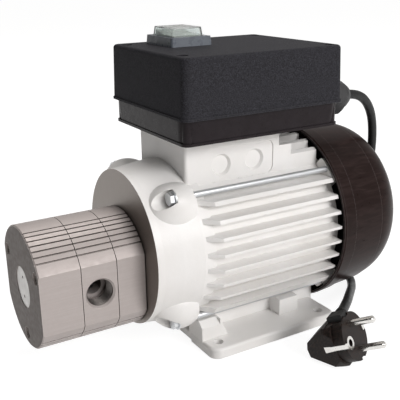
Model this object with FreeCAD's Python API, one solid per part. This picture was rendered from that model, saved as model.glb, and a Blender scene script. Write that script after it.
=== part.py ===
import FreeCAD, Part
import math
import os

# Oil transfer pump: a gear pump head flanged to a foot-mounted single-phase motor.
# Origin: centre of the four foot holes on the base plane. +X runs along the shaft from
# the pump head towards the fan, +Z is up. All sizes are millimetres and degrees.

V = FreeCAD.Vector

# Motor frame and foot
shaft_height = 71.0
foot_hole_spacing_x = 90.0
foot_hole_spacing_y = 112.0
foot_hole_radius = 3.5
foot_length = 109.6
foot_width = 132.0
foot_thickness = 7.5
foot_corner_radius = 7.0
foot_edge_radius = 2.0
foot_relief_depth = 1.5
barrel_radius = 57.5
barrel_wall = 4.5
frame_front = -57.0
frame_rear = 56.0
collar_step = 2.0
collar_length = 9.0
fin_height = 9.3
fin_pitch = 11.07
fins_per_side = 8
fin_tip_thickness = 1.8
fin_root_thickness = 3.6
fin_runout_front = -55.0
fin_runout_rear = -46.0
lowest_fin_drop = 2.6
rib_half_width = 34.0
rib_pitch = 11.2
rib_thickness = 3.0
tie_rod_stand_off = 6.14
tie_rod_radius = 2.2

# Terminal pedestal on top of the frame
pedestal_rear = 22.4
pedestal_rise = 21.7
pedestal_wall = 4.0
pedestal_corner_radius = 2.5
pedestal_step_rear = 32.0
pedestal_step_drop = 13.6
panel_front = -42.0
panel_rear = 16.0
panel_drop = 8.0
panel_height = 24.7
panel_depth = 0.8
panel_corner_radius = 6.0
knock_out_places = (-27.7, 0.0)
knock_out_drop = 20.9
knock_out_radius = 7.8
knock_out_depth = 2.0
knock_out_draft = 1.4
wire_hole_radius = 8.0

# Foot gussets
front_gusset_length = 15.0
front_gusset_width = 50.0
front_gusset_top = 21.5
mid_gusset_front = 15.0
mid_gusset_rear = 32.0
mid_gusset_width = 47.0
mid_gusset_top = 20.0

# Shields
flange_front = -90.5
flange_step = 1.5
flange_thickness = 10.0
bell_shoulder_step = 0.5
ear_front = -72.0
ear_middle = -67.5
ear_half_length = 22.0
ear_half_spread = 18.0
ear_swell = 24.0
ear_rim = 5.0
ear_tail_drop = 3.5
ear_half_width = 9.0
ear_corner_radius = 3.0
spot_face_gap = 0.7
shield_wall = 4.0
spigot_length = 3.0
fit_gap = 0.05
rear_shield_thickness = 6.0
rear_ear_length = 10.0
rear_ear_rim = 2.66
cover_seat_length = 5.0
hub_wall = 4.0

# Rotor line
shaft_radius = 9.0
bearing_seat_radius = 7.5
pump_shaft_radius = 6.0
fan_seat_radius = 6.0
bearing_outer_radius = 17.5
bearing_width = 11.0
bearing_split_radius = 10.5
running_gap = 0.05
front_bearing_front = -79.0
stack_half_length = 30.0
stator_inner_radius = 30.0
air_gap = 0.3
end_ring_length = 9.0
end_ring_radius = 27.0
winding_reach = 16.0
winding_inner_radius = 33.0
winding_outer_gap = 4.0
winding_gap = 0.6

# Fan and its cover
cover_rim_front = 56.3
cover_ear_gap = 1.9
cover_step = 67.6
cover_rim_draw = 0.7
cover_step_height = 0.8
cover_edge = 96.0
cover_band_draw = 1.9
cover_wall = 2.2
dome_edge_drop = 0.9
dome_face_radius = 45.0
dome_depth = 26.0
grille_rings = 5
grille_inner_radius = 12.0
grille_slot_width = 4.2
grille_pitch = 6.6
grille_spokes = 8
grille_spoke_width = 3.0
fan_front = 71.0
fan_length = 20.0
fan_tip_gap = 7.8
fan_disc_thickness = 2.0
fan_hub_radius = 11.0
fan_blades = 8
fan_blade_thickness = 2.0
fan_clip_thickness = 1.0
fan_clip_radius = 8.0

# Tie bolts
tie_head_height = 4.2
tie_flange_radius = 5.4
tie_flange_thickness = 1.0
tie_head_flats = 8.0
tie_nut_flats = 7.0
tie_nut_height = 4.0
tie_thread_end = 3.0

# Pump head
pump_front = -164.1
front_joint = -136.1
rear_joint = -111.2
gasket_thickness = 0.5
gasket_inset = 0.35
pump_axis_drop = 13.0
pump_radius = 42.3
pump_half_width = 37.0
pump_edge_chamfer = 0.8
groove_count = 7
groove_first_angle = 13.7
groove_last_angle = 49.4
groove_width = 1.5
groove_depth = 1.0
screw_circle_radius = 34.5
screw_angles = (30.0, 150.0, 270.0)
screw_radius = 2.5
screw_hole_gap = 0.1
screw_head_radius = 4.1
screw_head_height = 5.0
screw_head_recess = 6.5
screw_socket_flats = 4.0
screw_socket_depth = 2.5
screw_grip = 8.0
port_radius = 9.3
port_depth = 15.0
port_mouth_radius = 10.6
port_passage_radius = 6.5

# Gears and what carries them
gear_module = 2.0
gear_teeth = 13
pressure_angle = 28.0
addendum_share = 0.95
dedendum_share = 1.3
tooth_backlash = 0.2
gear_side_gap = 0.15
gear_tip_gap = 0.25
idler_radius = 5.0
idler_grip = 9.0
bush_wall = 2.0
bush_length = 9.0
key_width = 4.0
key_height = 4.0
key_length = 16.0
seal_outer_radius = 11.0
seal_length = 6.0
register_radius = 16.0
register_length = 2.5

# Bypass valve in the front cover
cap_radius = 14.3
cap_thickness = 3.0
cap_recess = 0.5
cap_thread_radius = 9.5
cap_thread_length = 3.0
spanner_hole_radius = 1.1
spanner_hole_offset = 7.0
spanner_hole_depth = 2.0
valve_bore_radius = 8.0
valve_seat = -148.4
poppet_radius = 7.95
poppet_length = 3.5
poppet_cone_length = 2.5
valve_passage_radius = 4.5
spring_wire_radius = 0.6
spring_coil_radius = 5.2
spring_turns = 1.75
valve_travel = 1.2

# Terminal box
box_centre_x = -3.7
cover_step_x = 2.0
cover_step_y = 2.9
base_gap = 0.5
base_draft = 1.1
base_lip_height = 1.8
base_lip_reach = 0.8
base_floor = 2.4
base_corner_radius = 9.0
base_column_radius = 3.6
base_column_inset = 0.3
box_wall = 2.6
rim_rise = 16.7
cover_length = 129.4
cover_width = 110.0
cover_height = 39.6
cover_draft = 1.0
box_corner_radius = 5.0
cover_edge_fillet = 2.5
cover_lip_height = 1.6
cover_lip_reach = 0.7
box_screw_inset_x = 7.7
front_screw_inset_y = 14.4
rear_screw_inset_y = 9.0
screw_post_radius = 4.6
screw_post_gap = 0.3
cover_screw_radius = 1.9
cover_screw_head_radius = 3.6
cover_screw_head_height = 2.2
cover_screw_recess = 3.4
seal_strip_height = 1.2
seal_strip_width = 1.3
seal_strip_inset = 0.8
base_boss_radius = 4.6
base_boss_bite = 1.0
base_screw_radius = 2.0
base_screw_head_radius = 3.8
base_screw_head_height = 2.4
base_screw_grip = 8.0

# Inside the terminal box
capacitor_radius = 16.0
capacitor_length = 60.0
capacitor_front = -52.0
capacitor_inset = 26.1
capacitor_rise = 3.2
capacitor_stud_radius = 4.0
capacitor_stud_length = 6.0
block_front = 19.2
block_length = 36.0
block_y = 8.0
block_depth = 18.0
block_height = 14.0
block_ways = 4
block_screw_radius = 2.2

# Switch on the cover
switch_front = -45.0
switch_length = 33.0
switch_near = 2.5
switch_depth = 40.0
switch_frame_height = 6.3
switch_body_margin = 3.0
switch_body_depth = 20.0
switch_corner_radius = 2.0
switch_frame_bevel = 1.0
switch_well_depth = 6.4
boot_front = -42.0
boot_length = 25.0
boot_near = 6.5
boot_depth = 30.0
boot_height = 6.2
boot_wall = 1.0
boot_taper = 0.8
rocker_gap = 0.9
rocker_pivot_drop = 3.0
rocker_half_thickness = 2.2
rocker_tilt = 7.0
rocker_pin_radius = 1.5

# Cable gland on the rear end of the box
gland_inset = 24.1
gland_rise = 15.3
gland_flats = 24.0
gland_seat_inset = 1.2
gland_flange_length = 7.0
gland_shank_radius = 9.6
gland_thread_radius = 9.0
gland_thread_length = 13.0
gland_nut_length = 13.0
gland_dome_length = 9.0
gland_dome_tip_radius = 6.0
gland_locknut_length = 4.0
gland_locknut_flats = 22.0
gland_tab_width = 26.0
gland_tab_rise = 15.0
gland_notch_gap = 0.4
gland_bore_radius = 4.6
gland_mouth_gap = 0.3
gland_seal_radius = 7.2
gland_seal_length = 10.0

# Mains lead: 7 mm cable, 2 m between gland and plug
cord_radius = 3.5
floor_lift = 0.1
coil_x = 78.0
coil_y = 126.0
coil_mid_radius = 41.0
coil_start_angle = 15.0
coil_end_angle = 225.0
coil_lead_length = 27.0
cord_grip = 8.7
coil_columns = 2
coil_layers = 3
tie_width = 5.0
tie_thickness = 1.2
tie_angle = 30.0

# Earthed plug
pin_radius = 2.4
pin_length = 19.0
pin_spacing = 19.0
pin_insert = 6.0
plug_face_radius = 16.9
plug_face_length = 8.0
plug_length = 31.5
plug_top = 14.5
plug_top_end = -15.0
plug_back_top = 5.2
plug_back_bottom = -4.3
plug_heel = -12.0
plug_heel_drop = 13.8
plug_back_half_width = 13.0
plug_edge_chamfer = 3.0
plug_notch_width = 5.0
plug_notch_depth = 1.6
plug_azimuth = -63.6
plug_roll = 3.2
plug_x = 25.8
plug_y = -117.4
clip_radius = 15.3
clip_width = 4.4
clip_thickness = 0.8
clip_length = 17.0
clip_face_reach = 3.0
earth_ring_centre = 10.0
earth_ring_radius = 4.5
earth_hole_radius = 2.5
earth_hole_depth = 12.0
grommet_front = -1.0
grommet_length = 11.5
grommet_half_width = 5.0
grommet_height = 4.0
grommet_depth = 2.0
sleeve_length = 3.0
sleeve_reach = 7.5
sleeve_end_height = 15.4
sleeve_droop = 5.0
sleeve_swing = 14.0
sleeve_foot_radius = 4.1
sleeve_tip_radius = 3.9

# Sizes that follow from the ones above
stator_bore_radius = barrel_radius - barrel_wall
collar_radius = barrel_radius + collar_step
fin_tip_radius = barrel_radius + fin_height
tie_rod_circle = barrel_radius + tie_rod_stand_off
tie_rod_offset = tie_rod_circle / math.sqrt(2.0)
ear_outer_radius = tie_rod_circle + ear_rim
rear_ear_radius = tie_rod_circle + rear_ear_rim
bell_shoulder_radius = barrel_radius + bell_shoulder_step
flange_radius = barrel_radius - flange_step
winding_outer_radius = stator_bore_radius - winding_outer_gap
pedestal_top = shaft_height + barrel_radius + pedestal_rise
pedestal_step_top = pedestal_top - pedestal_step_drop
panel_top = pedestal_top - panel_drop
panel_bottom = panel_top - panel_height
knock_out_height = pedestal_top - knock_out_drop
pump_axis_height = shaft_height - pump_axis_drop
pitch_radius = gear_module * gear_teeth / 2.0
idler_height = shaft_height - 2.0 * pitch_radius
gear_tip_radius = pitch_radius + addendum_share * gear_module
chamber_radius = gear_tip_radius + gear_tip_gap
port_x = (front_joint + rear_joint) / 2.0
half_gasket = gasket_thickness / 2.0
rear_bearing_front = frame_rear + 2.0
fan_seat_front = rear_bearing_front + bearing_width
base_length = cover_length - 2.0 * cover_step_x
base_width = cover_width - 2.0 * cover_step_y
base_bottom = pedestal_top + base_gap
rim_height = base_bottom + rim_rise
cover_top = rim_height + cover_height
capacitor_y = capacitor_inset - base_width / 2.0
gland_y = gland_inset - base_width / 2.0
gland_height = base_bottom + gland_rise
box_front = box_centre_x - base_length / 2.0
box_rear = box_centre_x + base_length / 2.0
cover_inner_top = cover_top - box_wall
gland_seat = box_rear - gland_seat_inset
cover_bore_radius = rear_ear_radius + cover_ear_gap
cover_rim_radius = cover_bore_radius + cover_wall
cover_step_radius = cover_rim_radius - cover_rim_draw
cover_band_radius = cover_step_radius - cover_step_height
cover_edge_radius = cover_band_radius - cover_band_draw
fan_radius = cover_edge_radius - cover_wall - fan_tip_gap
bush_radius = pump_shaft_radius + bush_wall
shaft_front = front_joint - bush_length


def bar(radius, x0, x1, y=0.0, z=shaft_height):
    """Cylinder along X."""
    return Part.makeCylinder(radius, x1 - x0, V(x0, y, z), V(1, 0, 0))


def ring(outer, inner, x0, x1, y=0.0, z=shaft_height):
    return bar(outer, x0, x1, y, z).cut(bar(inner, x0 - 1, x1 + 1, y, z))


def post(radius, x, y, z0, z1):
    """Cylinder along Z."""
    return Part.makeCylinder(radius, z1 - z0, V(x, y, z0))


def block(x0, x1, y0, y1, z0, z1):
    return Part.makeBox(x1 - x0, y1 - y0, z1 - z0, V(x0, y0, z0))


def turned(profile, y=0.0, z=shaft_height):
    """Closed outline of (x, radius) turned about the line along X through y and z."""
    points = [V(x, y, z + r) for x, r in profile]
    face = Part.Face(Part.makePolygon(points + points[:1]))
    return face.revolve(V(0, y, z), V(1, 0, 0), 360)


def prism_x(outline, x0, x1):
    """Closed outline of (y, z) drawn out along X."""
    points = [V(x0, y, z) for y, z in outline]
    return Part.Face(Part.makePolygon(points + points[:1])).extrude(V(x1 - x0, 0, 0))


def prism_y(outline, y0, y1):
    """Closed outline of (x, z) drawn out along Y."""
    points = [V(x, y0, z) for x, z in outline]
    return Part.Face(Part.makePolygon(points + points[:1])).extrude(V(0, y1 - y0, 0))


def hexagon(flats, x0, x1, y, z, turn=0.0):
    """Hexagonal bar along X; turn 0 has flats above and below."""
    reach = flats / math.sqrt(3.0)
    angles = [math.radians(60.0 * k + turn) for k in range(6)]
    return prism_x([(y + reach * math.cos(a), z + reach * math.sin(a)) for a in angles], x0, x1)


def arc_edge(centre, radius, a0, a1, place):
    """Arc in a plane; place turns plane coordinates (u, v) into a point."""
    def at(angle):
        a = math.radians(angle)
        return place(centre[0] + radius * math.cos(a), centre[1] + radius * math.sin(a))
    return Part.Arc(at(a0), at((a0 + a1) / 2.0), at(a1)).toShape()


def rounded_outline(u0, u1, v0, v1, radius, place):
    """Wire of a rectangle with round corners."""
    corners = ((u1 - radius, v1 - radius, 0), (u0 + radius, v1 - radius, 90),
               (u0 + radius, v0 + radius, 180), (u1 - radius, v0 + radius, 270))
    arcs = [arc_edge((u, v), radius, a, a + 90, place) for u, v, a in corners]
    edges = []
    for k, arc in enumerate(arcs):
        after = arcs[(k + 1) % len(arcs)]
        edges.append(arc)
        edges.append(Part.makeLine(arc.valueAt(arc.LastParameter), after.valueAt(after.FirstParameter)))
    return Part.Wire(edges)


def rounded_block(x0, x1, y0, y1, z0, z1, radius, draft=0.0):
    """Upright block with round corners; draft draws its top in by that much a side."""
    foot = rounded_outline(x0, x1, y0, y1, radius, lambda u, v: V(u, v, z0))
    head = rounded_outline(x0 + draft, x1 - draft, y0 + draft, y1 - draft, radius,
                           lambda u, v: V(u, v, z1))
    return Part.makeLoft([foot, head], True, True)


def edges_where(shape, test):
    return [edge for edge in shape.Edges if test(edge.BoundBox)]


def about_shaft(shape, angle):
    """Copy turned about the motor shaft."""
    return shape.rotated(V(0, 0, shaft_height), V(1, 0, 0), angle)


def mirrored_y(shape):
    return shape.mirror(V(0, 0, 0), V(0, 1, 0))


def fused(shapes):
    return shapes[0].multiFuse(list(shapes[1:])).removeSplitter()


def group(shapes):
    return Part.makeCompound(list(shapes))


# Motor frame


def side_fins():
    """Parallel cooling fins on both sides; the lowest pair is thicker and hides the tie rods."""
    fins = []
    root = (barrel_radius + stator_bore_radius) / 2.0
    for k in range(fins_per_side):
        offset = (k - (fins_per_side - 1) / 2.0) * fin_pitch
        drop = lowest_fin_drop if k == 0 else 0.0
        z = shaft_height + offset
        y0 = math.sqrt(root ** 2 - offset ** 2)
        y1 = fin_tip_radius + 1.0
        outline = [(y0, z - fin_root_thickness / 2.0 - drop), (y1, z - fin_tip_thickness / 2.0 - drop),
                   (y1, z + fin_tip_thickness / 2.0), (y0, z + fin_root_thickness / 2.0)]
        fins.append(prism_x(outline, fin_runout_front, frame_rear))
    return fins + [mirrored_y(fin) for fin in fins]


def upright_ribs(x0, x1, upward):
    """Lengthwise ribs between the outer walls, above or below the barrel."""
    ribs = []
    count = int(rib_half_width // rib_pitch)
    places = [k * rib_pitch for k in range(-count + 1, count)]
    outer = rib_half_width - rib_thickness / 2.0
    for y in places + [-outer, outer]:
        inner = stator_bore_radius + 2.0
        base = shaft_height + (1 if upward else -1) * math.sqrt(inner ** 2 - y ** 2)
        end = shaft_height + fin_tip_radius + 1.0 if upward else foot_thickness / 2.0
        ribs.append(block(x0, x1, y - rib_thickness / 2.0, y + rib_thickness / 2.0,
                          min(base, end), max(base, end)))
    return ribs


def fin_envelope():
    """Turned space that the fin tips end on, run out at the front."""
    far = fin_tip_radius
    return turned([(fin_runout_front, 0), (fin_runout_front, collar_radius), (fin_runout_rear, far),
                   (frame_rear, far), (frame_rear, 0)])


def foot_plate():
    half_x = foot_length / 2.0
    half_y = foot_width / 2.0
    plate = rounded_block(-half_x, half_x, -half_y, half_y, 0, foot_thickness, foot_corner_radius)
    rim = edges_where(plate, lambda b: b.ZMin > foot_thickness - 0.01)
    plate = plate.makeFillet(foot_edge_radius, rim)
    relief = block(-half_x - 1, half_x + 1, -rib_half_width, rib_half_width, -1, foot_relief_depth)
    return plate.cut(relief)


def foot_holes():
    x = foot_hole_spacing_x / 2.0
    y = foot_hole_spacing_y / 2.0
    return [post(foot_hole_radius, sx * x, sy * y, -1, foot_thickness + 1)
            for sx in (-1, 1) for sy in (-1, 1)]


def gussets():
    """Stiffeners between the foot plate and the side walls, on both sides."""
    x0 = -foot_length / 2.0
    x1 = x0 + front_gusset_length
    slope = front_gusset_top - foot_thickness
    wall = rib_half_width - rib_thickness
    front = prism_x([(-wall, foot_thickness - 1), (-front_gusset_width, foot_thickness - 1),
                     (-front_gusset_width, front_gusset_top - slope / 3.0),
                     (-front_gusset_width + slope / 3.0, front_gusset_top),
                     (-wall, front_gusset_top)], x0, x1)
    toe = prism_y([(x1, foot_thickness - 1), (x1 + slope / 2.0, foot_thickness - 1),
                   (x1, front_gusset_top)], -front_gusset_width, -wall)
    mid = block(mid_gusset_front, mid_gusset_rear, -mid_gusset_width, -wall,
                foot_thickness - 1, mid_gusset_top)
    near = [front, toe, mid]
    return near + [mirrored_y(shape) for shape in near]


def pedestal():
    """Hollow seat for the terminal box, with a recessed panel and two knock-outs a side."""
    shell = rounded_block(frame_front, pedestal_rear, -rib_half_width, rib_half_width,
                          shaft_height + barrel_radius / 2.0, pedestal_top, pedestal_corner_radius)
    step = block(pedestal_rear - pedestal_wall, pedestal_step_rear, -rib_half_width,
                 -rib_half_width + rib_thickness, shaft_height + barrel_radius / 2.0, pedestal_step_top)
    shape = shell.multiFuse([step, mirrored_y(step)])
    bosses = [post(base_boss_radius, x, y, shaft_height + barrel_radius / 2.0, pedestal_top)
              for x, y in base_screw_places()]
    threads = [post(base_screw_radius + 0.05, x, y, pedestal_top - base_screw_grip - 1, pedestal_top + 1)
               for x, y in base_screw_places()]
    pocket = rounded_block(frame_front + pedestal_wall, pedestal_rear - pedestal_wall,
                           -rib_half_width + pedestal_wall, rib_half_width - pedestal_wall,
                           shaft_height + barrel_radius + 1.0, pedestal_top + 1, pedestal_corner_radius)
    panel = rounded_outline(panel_front, panel_rear, panel_bottom, panel_top, panel_corner_radius,
                            lambda u, v: V(u, -rib_half_width - 1, v))
    panel = Part.Face(panel).extrude(V(0, panel_depth + 1, 0))
    pocket = pocket.cut(Part.makeCompound(bosses))
    cuts = [pocket, panel, mirrored_y(panel)] + threads
    for x in knock_out_places:
        dish = Part.makeCone(knock_out_radius, knock_out_radius - knock_out_draft,
                             knock_out_depth, V(x, -rib_half_width + panel_depth, knock_out_height),
                             V(0, 1, 0))
        cuts += [dish, mirrored_y(dish)]
    return shape.cut(Part.makeCompound(cuts))


def motor_frame():
    barrel = bar(barrel_radius, frame_front, frame_rear)
    collar = bar(collar_radius, frame_front, frame_front + collar_length)
    ribs_above = upright_ribs(pedestal_rear - pedestal_wall, frame_rear, True)
    envelope = fin_envelope()
    finned = envelope.common(Part.makeCompound(side_fins() + ribs_above))
    below = upright_ribs(-foot_length / 2.0, frame_rear, False)
    shape = barrel.multiFuse([collar, finned, foot_plate(), pedestal()] + below + gussets())
    bore = bar(stator_bore_radius, frame_front - 1, frame_rear + 1)
    wire_hole = post(wire_hole_radius, (frame_front + pedestal_rear) / 2.0, 0,
                     shaft_height, shaft_height + barrel_radius + 3.0)
    rods = [bar(tie_rod_radius + 0.4, frame_front - 1, frame_rear + 1, y, z) for y, z in tie_rod_places()]
    shape = shape.cut(Part.makeCompound([bore, wire_hole] + foot_holes() + rods))
    return shape.removeSplitter()


# Shields and tie bolts


def tie_rod_places():
    return [(sy * tie_rod_offset, shaft_height + sz * tie_rod_offset) for sy in (-1, 1) for sz in (-1, 1)]


def ear(x0, x1, outer):
    """Lug at the foot of one tie rod, before it is turned to its place."""
    lug = block(x0, x1, -ear_half_width, ear_half_width, shaft_height + barrel_radius / 2.0,
                shaft_height + outer)
    along = edges_where(lug, lambda b: b.ZMin > shaft_height + outer - 0.01 and b.YLength < 0.01)
    return lug.makeFillet(ear_corner_radius, along)


def bell_lug():
    """Swelling of the bell round one tie bolt, before it is turned to its place."""
    swelling = Part.makeSphere(1.0)
    stretch = FreeCAD.Matrix()
    stretch.scale(ear_half_length, ear_half_spread, ear_swell)
    swelling = swelling.transformGeometry(stretch)
    swelling = swelling.translated(V(ear_middle, 0, shaft_height + ear_outer_radius - ear_swell))
    crown = turned([(ear_middle - ear_half_length, shaft_height / 2.0),
                    (ear_middle - ear_half_length, ear_outer_radius + 1),
                    (frame_front - ear_tail_drop, ear_outer_radius + 1),
                    (frame_front, ear_outer_radius - ear_tail_drop), (frame_front, shaft_height / 2.0)])
    upper = block(ear_middle - ear_half_length - 1, frame_front, -40, 40, shaft_height, 200)
    return swelling.common(crown).common(upper)


def front_shield():
    """Bell with a machined flange, bearing seat and four lugs."""
    outside = turned([(flange_front, 0), (flange_front, flange_radius), (flange_front + 5, flange_radius + 0.3),
                      (ear_front, bell_shoulder_radius), (frame_front, collar_radius), (frame_front, 0)])
    lug = bell_lug()
    body = outside.multiFuse([about_shaft(lug, 45 + 90 * k) for k in range(4)])
    back = flange_front + flange_thickness
    room = stator_bore_radius - 1.0
    hub = bearing_outer_radius + hub_wall
    hollow = turned([(back, hub), (back, room - 4), (back + 4, room), (frame_front + 1, room),
                     (frame_front + 1, 0), (front_bearing_front + bearing_width, 0),
                     (front_bearing_front + bearing_width, hub)])
    body = body.cut(hollow)
    spigot = ring(stator_bore_radius - fit_gap, room - 0.01, frame_front - 1, frame_front + spigot_length)
    body = body.fuse(spigot)
    seat = bar(bearing_outer_radius + fit_gap, front_bearing_front, frame_front)
    shaft_hole = bar(pump_shaft_radius + 2.0, flange_front - 1, front_bearing_front + 1)
    register = bar(register_radius + fit_gap, flange_front - 1, flange_front + register_length + 0.3)
    holes = [bar(tie_rod_radius + 0.3, ear_front - 1, frame_front + 1, y, z) for y, z in tie_rod_places()]
    holes += [bar(tie_flange_radius + spot_face_gap, ear_middle - ear_half_length - 4, ear_front, y, z)
              for y, z in tie_rod_places()]
    threads = [bar(screw_radius + screw_hole_gap, flange_front - 1, flange_front + screw_grip, y, z)
               for y, z in pump_screw_places()]
    body = body.cut(Part.makeCompound([seat, shaft_hole, register] + holes + threads))
    return body.removeSplitter()


def rear_shield():
    """Disc with the rear bearing seat; its four lugs clamp the frame and hold the fan cover."""
    rear = frame_rear + rear_shield_thickness
    hub = bearing_outer_radius + hub_wall
    disc = turned([(frame_rear, 0), (frame_rear, barrel_radius), (rear - 2, barrel_radius),
                   (rear, barrel_radius - 4), (rear, hub + 6), (fan_seat_front, hub), (fan_seat_front, 0)])
    spigot = ring(stator_bore_radius - fit_gap, stator_bore_radius - 5.0,
                  frame_rear - spigot_length, frame_rear + 1)
    lug = ear(frame_rear, frame_rear + rear_ear_length, rear_ear_radius)
    seat_front = frame_rear + rear_ear_length - cover_seat_length
    pad = block(seat_front, frame_rear + rear_ear_length, -ear_half_width + ear_corner_radius,
                ear_half_width - ear_corner_radius, shaft_height + barrel_radius,
                shaft_height + cover_bore_radius + 3)
    pad = pad.common(bar(cover_bore_radius - 0.1, seat_front - 1, rear + rear_ear_length))
    lugs = [about_shaft(shape, 45 + 90 * k) for k in range(4) for shape in (lug, pad)]
    body = disc.multiFuse([spigot] + lugs)
    seat = bar(bearing_outer_radius + fit_gap, rear_bearing_front, fan_seat_front + 1)
    hole = bar(shaft_radius + 1.0, frame_rear - spigot_length - 1, fan_seat_front)
    rods = [bar(tie_rod_radius + 0.3, frame_rear - 1, frame_rear + rear_ear_length + 1, y, z)
            for y, z in tie_rod_places()]
    return body.cut(Part.makeCompound([seat, hole] + rods)).removeSplitter()


def tie_bolts():
    end = frame_rear + rear_ear_length + tie_nut_height + tie_thread_end
    bolts = []
    for y, z in tie_rod_places():
        head = hexagon(tie_head_flats, ear_front - tie_head_height, ear_front, y, z, 15)
        flange = bar(tie_flange_radius, ear_front - tie_flange_thickness, ear_front, y, z)
        bolts.append(bar(tie_rod_radius, ear_front - 0.5, end, y, z).multiFuse([head, flange]).removeSplitter())
    return group(bolts)


def tie_bolt_nuts():
    x0 = frame_rear + rear_ear_length
    nuts = []
    for y, z in tie_rod_places():
        turn = 15 if y * (z - shaft_height) > 0 else -15
        nut = hexagon(tie_nut_flats, x0, x0 + tie_nut_height, y, z, turn)
        nuts.append(nut.cut(bar(tie_rod_radius + 0.02, x0 - 1, x0 + tie_nut_height + 1, y, z)))
    return group(nuts)


# Rotor line


def motor_shaft():
    """Stepped shaft that carries the drive gear, both bearings, the rotor and the fan."""
    rear = fan_front + fan_length + 3.0
    front_seat_rear = front_bearing_front + bearing_width
    shape = turned([(shaft_front, 0), (shaft_front, pump_shaft_radius - 0.8),
                    (shaft_front + 0.8, pump_shaft_radius), (front_bearing_front - 2, pump_shaft_radius),
                    (front_bearing_front - 2, bearing_seat_radius), (front_seat_rear, bearing_seat_radius),
                    (front_seat_rear, shaft_radius), (rear_bearing_front, shaft_radius),
                    (rear_bearing_front, bearing_seat_radius), (fan_seat_front, bearing_seat_radius),
                    (fan_seat_front, fan_seat_radius), (rear - 0.8, fan_seat_radius),
                    (rear, fan_seat_radius - 0.8), (rear, 0)])
    return shape.cut(key_block(0.02))


def key_block(gap):
    """Space of the key that drives the gear, grown by a gap."""
    x = (front_joint + rear_joint) / 2.0
    return block(x - key_length / 2.0 - gap, x + key_length / 2.0 + gap,
                 -key_width / 2.0 - gap, key_width / 2.0 + gap,
                 shaft_height + pump_shaft_radius - key_height / 2.0 - gap,
                 shaft_height + pump_shaft_radius + key_height / 2.0 - 0.2 + gap)


def rotor_core():
    core = stator_inner_radius - air_gap
    inner = shaft_radius + 0.02
    end = stack_half_length + end_ring_length
    return turned([(-end, inner), (-end, end_ring_radius), (-stack_half_length, end_ring_radius + 1),
                   (-stack_half_length, core), (stack_half_length, core),
                   (stack_half_length, end_ring_radius + 1), (end, end_ring_radius), (end, inner)])


def stator_core():
    return ring(stator_bore_radius - fit_gap, stator_inner_radius, -stack_half_length, stack_half_length)


def stator_windings():
    """End turns of the coils, a rounded ring on each face of the stack."""
    heads = []
    for side in (-1, 1):
        x0 = side * (stack_half_length + winding_gap)
        x1 = side * (stack_half_length + winding_reach)
        bend = 5.0
        profile = [(x0, winding_inner_radius), (x0, winding_outer_radius),
                   (x1 - side * bend, winding_outer_radius - 1), (x1, winding_outer_radius - bend),
                   (x1, winding_inner_radius + bend), (x1 - side * bend, winding_inner_radius)]
        heads.append(turned(profile))
    return group(heads)


def bearing_outer(x0):
    """Outer ring of a sealed ball bearing with its seals."""
    x1 = x0 + bearing_width
    inset = 0.8
    return turned([(x0, bearing_outer_radius - inset), (x0 + inset, bearing_outer_radius),
                   (x1 - inset, bearing_outer_radius), (x1, bearing_outer_radius - inset),
                   (x1, bearing_outer_radius - 3), (x1 - inset, bearing_outer_radius - 3),
                   (x1 - inset, bearing_split_radius + running_gap),
                   (x0 + inset, bearing_split_radius + running_gap),
                   (x0 + inset, bearing_outer_radius - 3), (x0, bearing_outer_radius - 3)])


def bearing_inner_rings():
    return group(ring(bearing_split_radius, bearing_seat_radius + 0.02, x0, x0 + bearing_width)
                 for x0 in (front_bearing_front, rear_bearing_front))


def fan():
    """Radial fan: backing disc, hub and straight blades with a cut-away corner."""
    x1 = fan_front + fan_length
    body = [bar(fan_radius, fan_front, fan_front + fan_disc_thickness), bar(fan_hub_radius, fan_front, x1)]
    half = fan_blade_thickness / 2.0
    blade = prism_y([(fan_front + 0.5, shaft_height + fan_hub_radius - 1),
                     (fan_front + 0.5, shaft_height + fan_radius),
                     (x1 - 6, shaft_height + fan_radius), (x1, shaft_height + fan_radius - 9),
                     (x1, shaft_height + fan_hub_radius - 1)], -half, half)
    blades = [about_shaft(blade, 360.0 * k / fan_blades) for k in range(fan_blades)]
    shape = body[0].multiFuse(body[1:] + blades)
    return shape.cut(bar(fan_seat_radius + 0.02, fan_front - 1, x1 + 1)).removeSplitter()


def fan_clip():
    x0 = fan_front + fan_length
    return ring(fan_clip_radius, fan_seat_radius + 0.02, x0, x0 + fan_clip_thickness)


# Fan cover


def dome_profile(inset):
    """Points of the domed end, from the edge to the flat face, inset by a wall."""
    steps = 8
    radial = cover_edge_radius - dome_edge_drop - dome_face_radius - inset
    axial = dome_depth - inset
    points = []
    for k in range(steps + 1):
        a = math.radians(90.0 * k / steps)
        points.append((cover_edge + axial * math.sin(a), dome_face_radius + radial * math.cos(a)))
    return points


def dome_edge(inset):
    """Elliptical arc of the dome outline, in the X-Z plane above the shaft."""
    radial = cover_edge_radius - dome_edge_drop - dome_face_radius - inset
    axial = dome_depth - inset
    centre = V(cover_edge, 0, shaft_height + dome_face_radius)
    major = centre + V(axial, 0, 0)
    minor = centre + V(0, 0, radial)
    if axial >= radial:
        curve = Part.Ellipse(major, minor, centre)
        return Part.Arc(curve, 0, math.pi / 2.0).toShape()
    curve = Part.Ellipse(minor, major, centre)
    return Part.Arc(curve, -math.pi / 2.0, 0).toShape()


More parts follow.
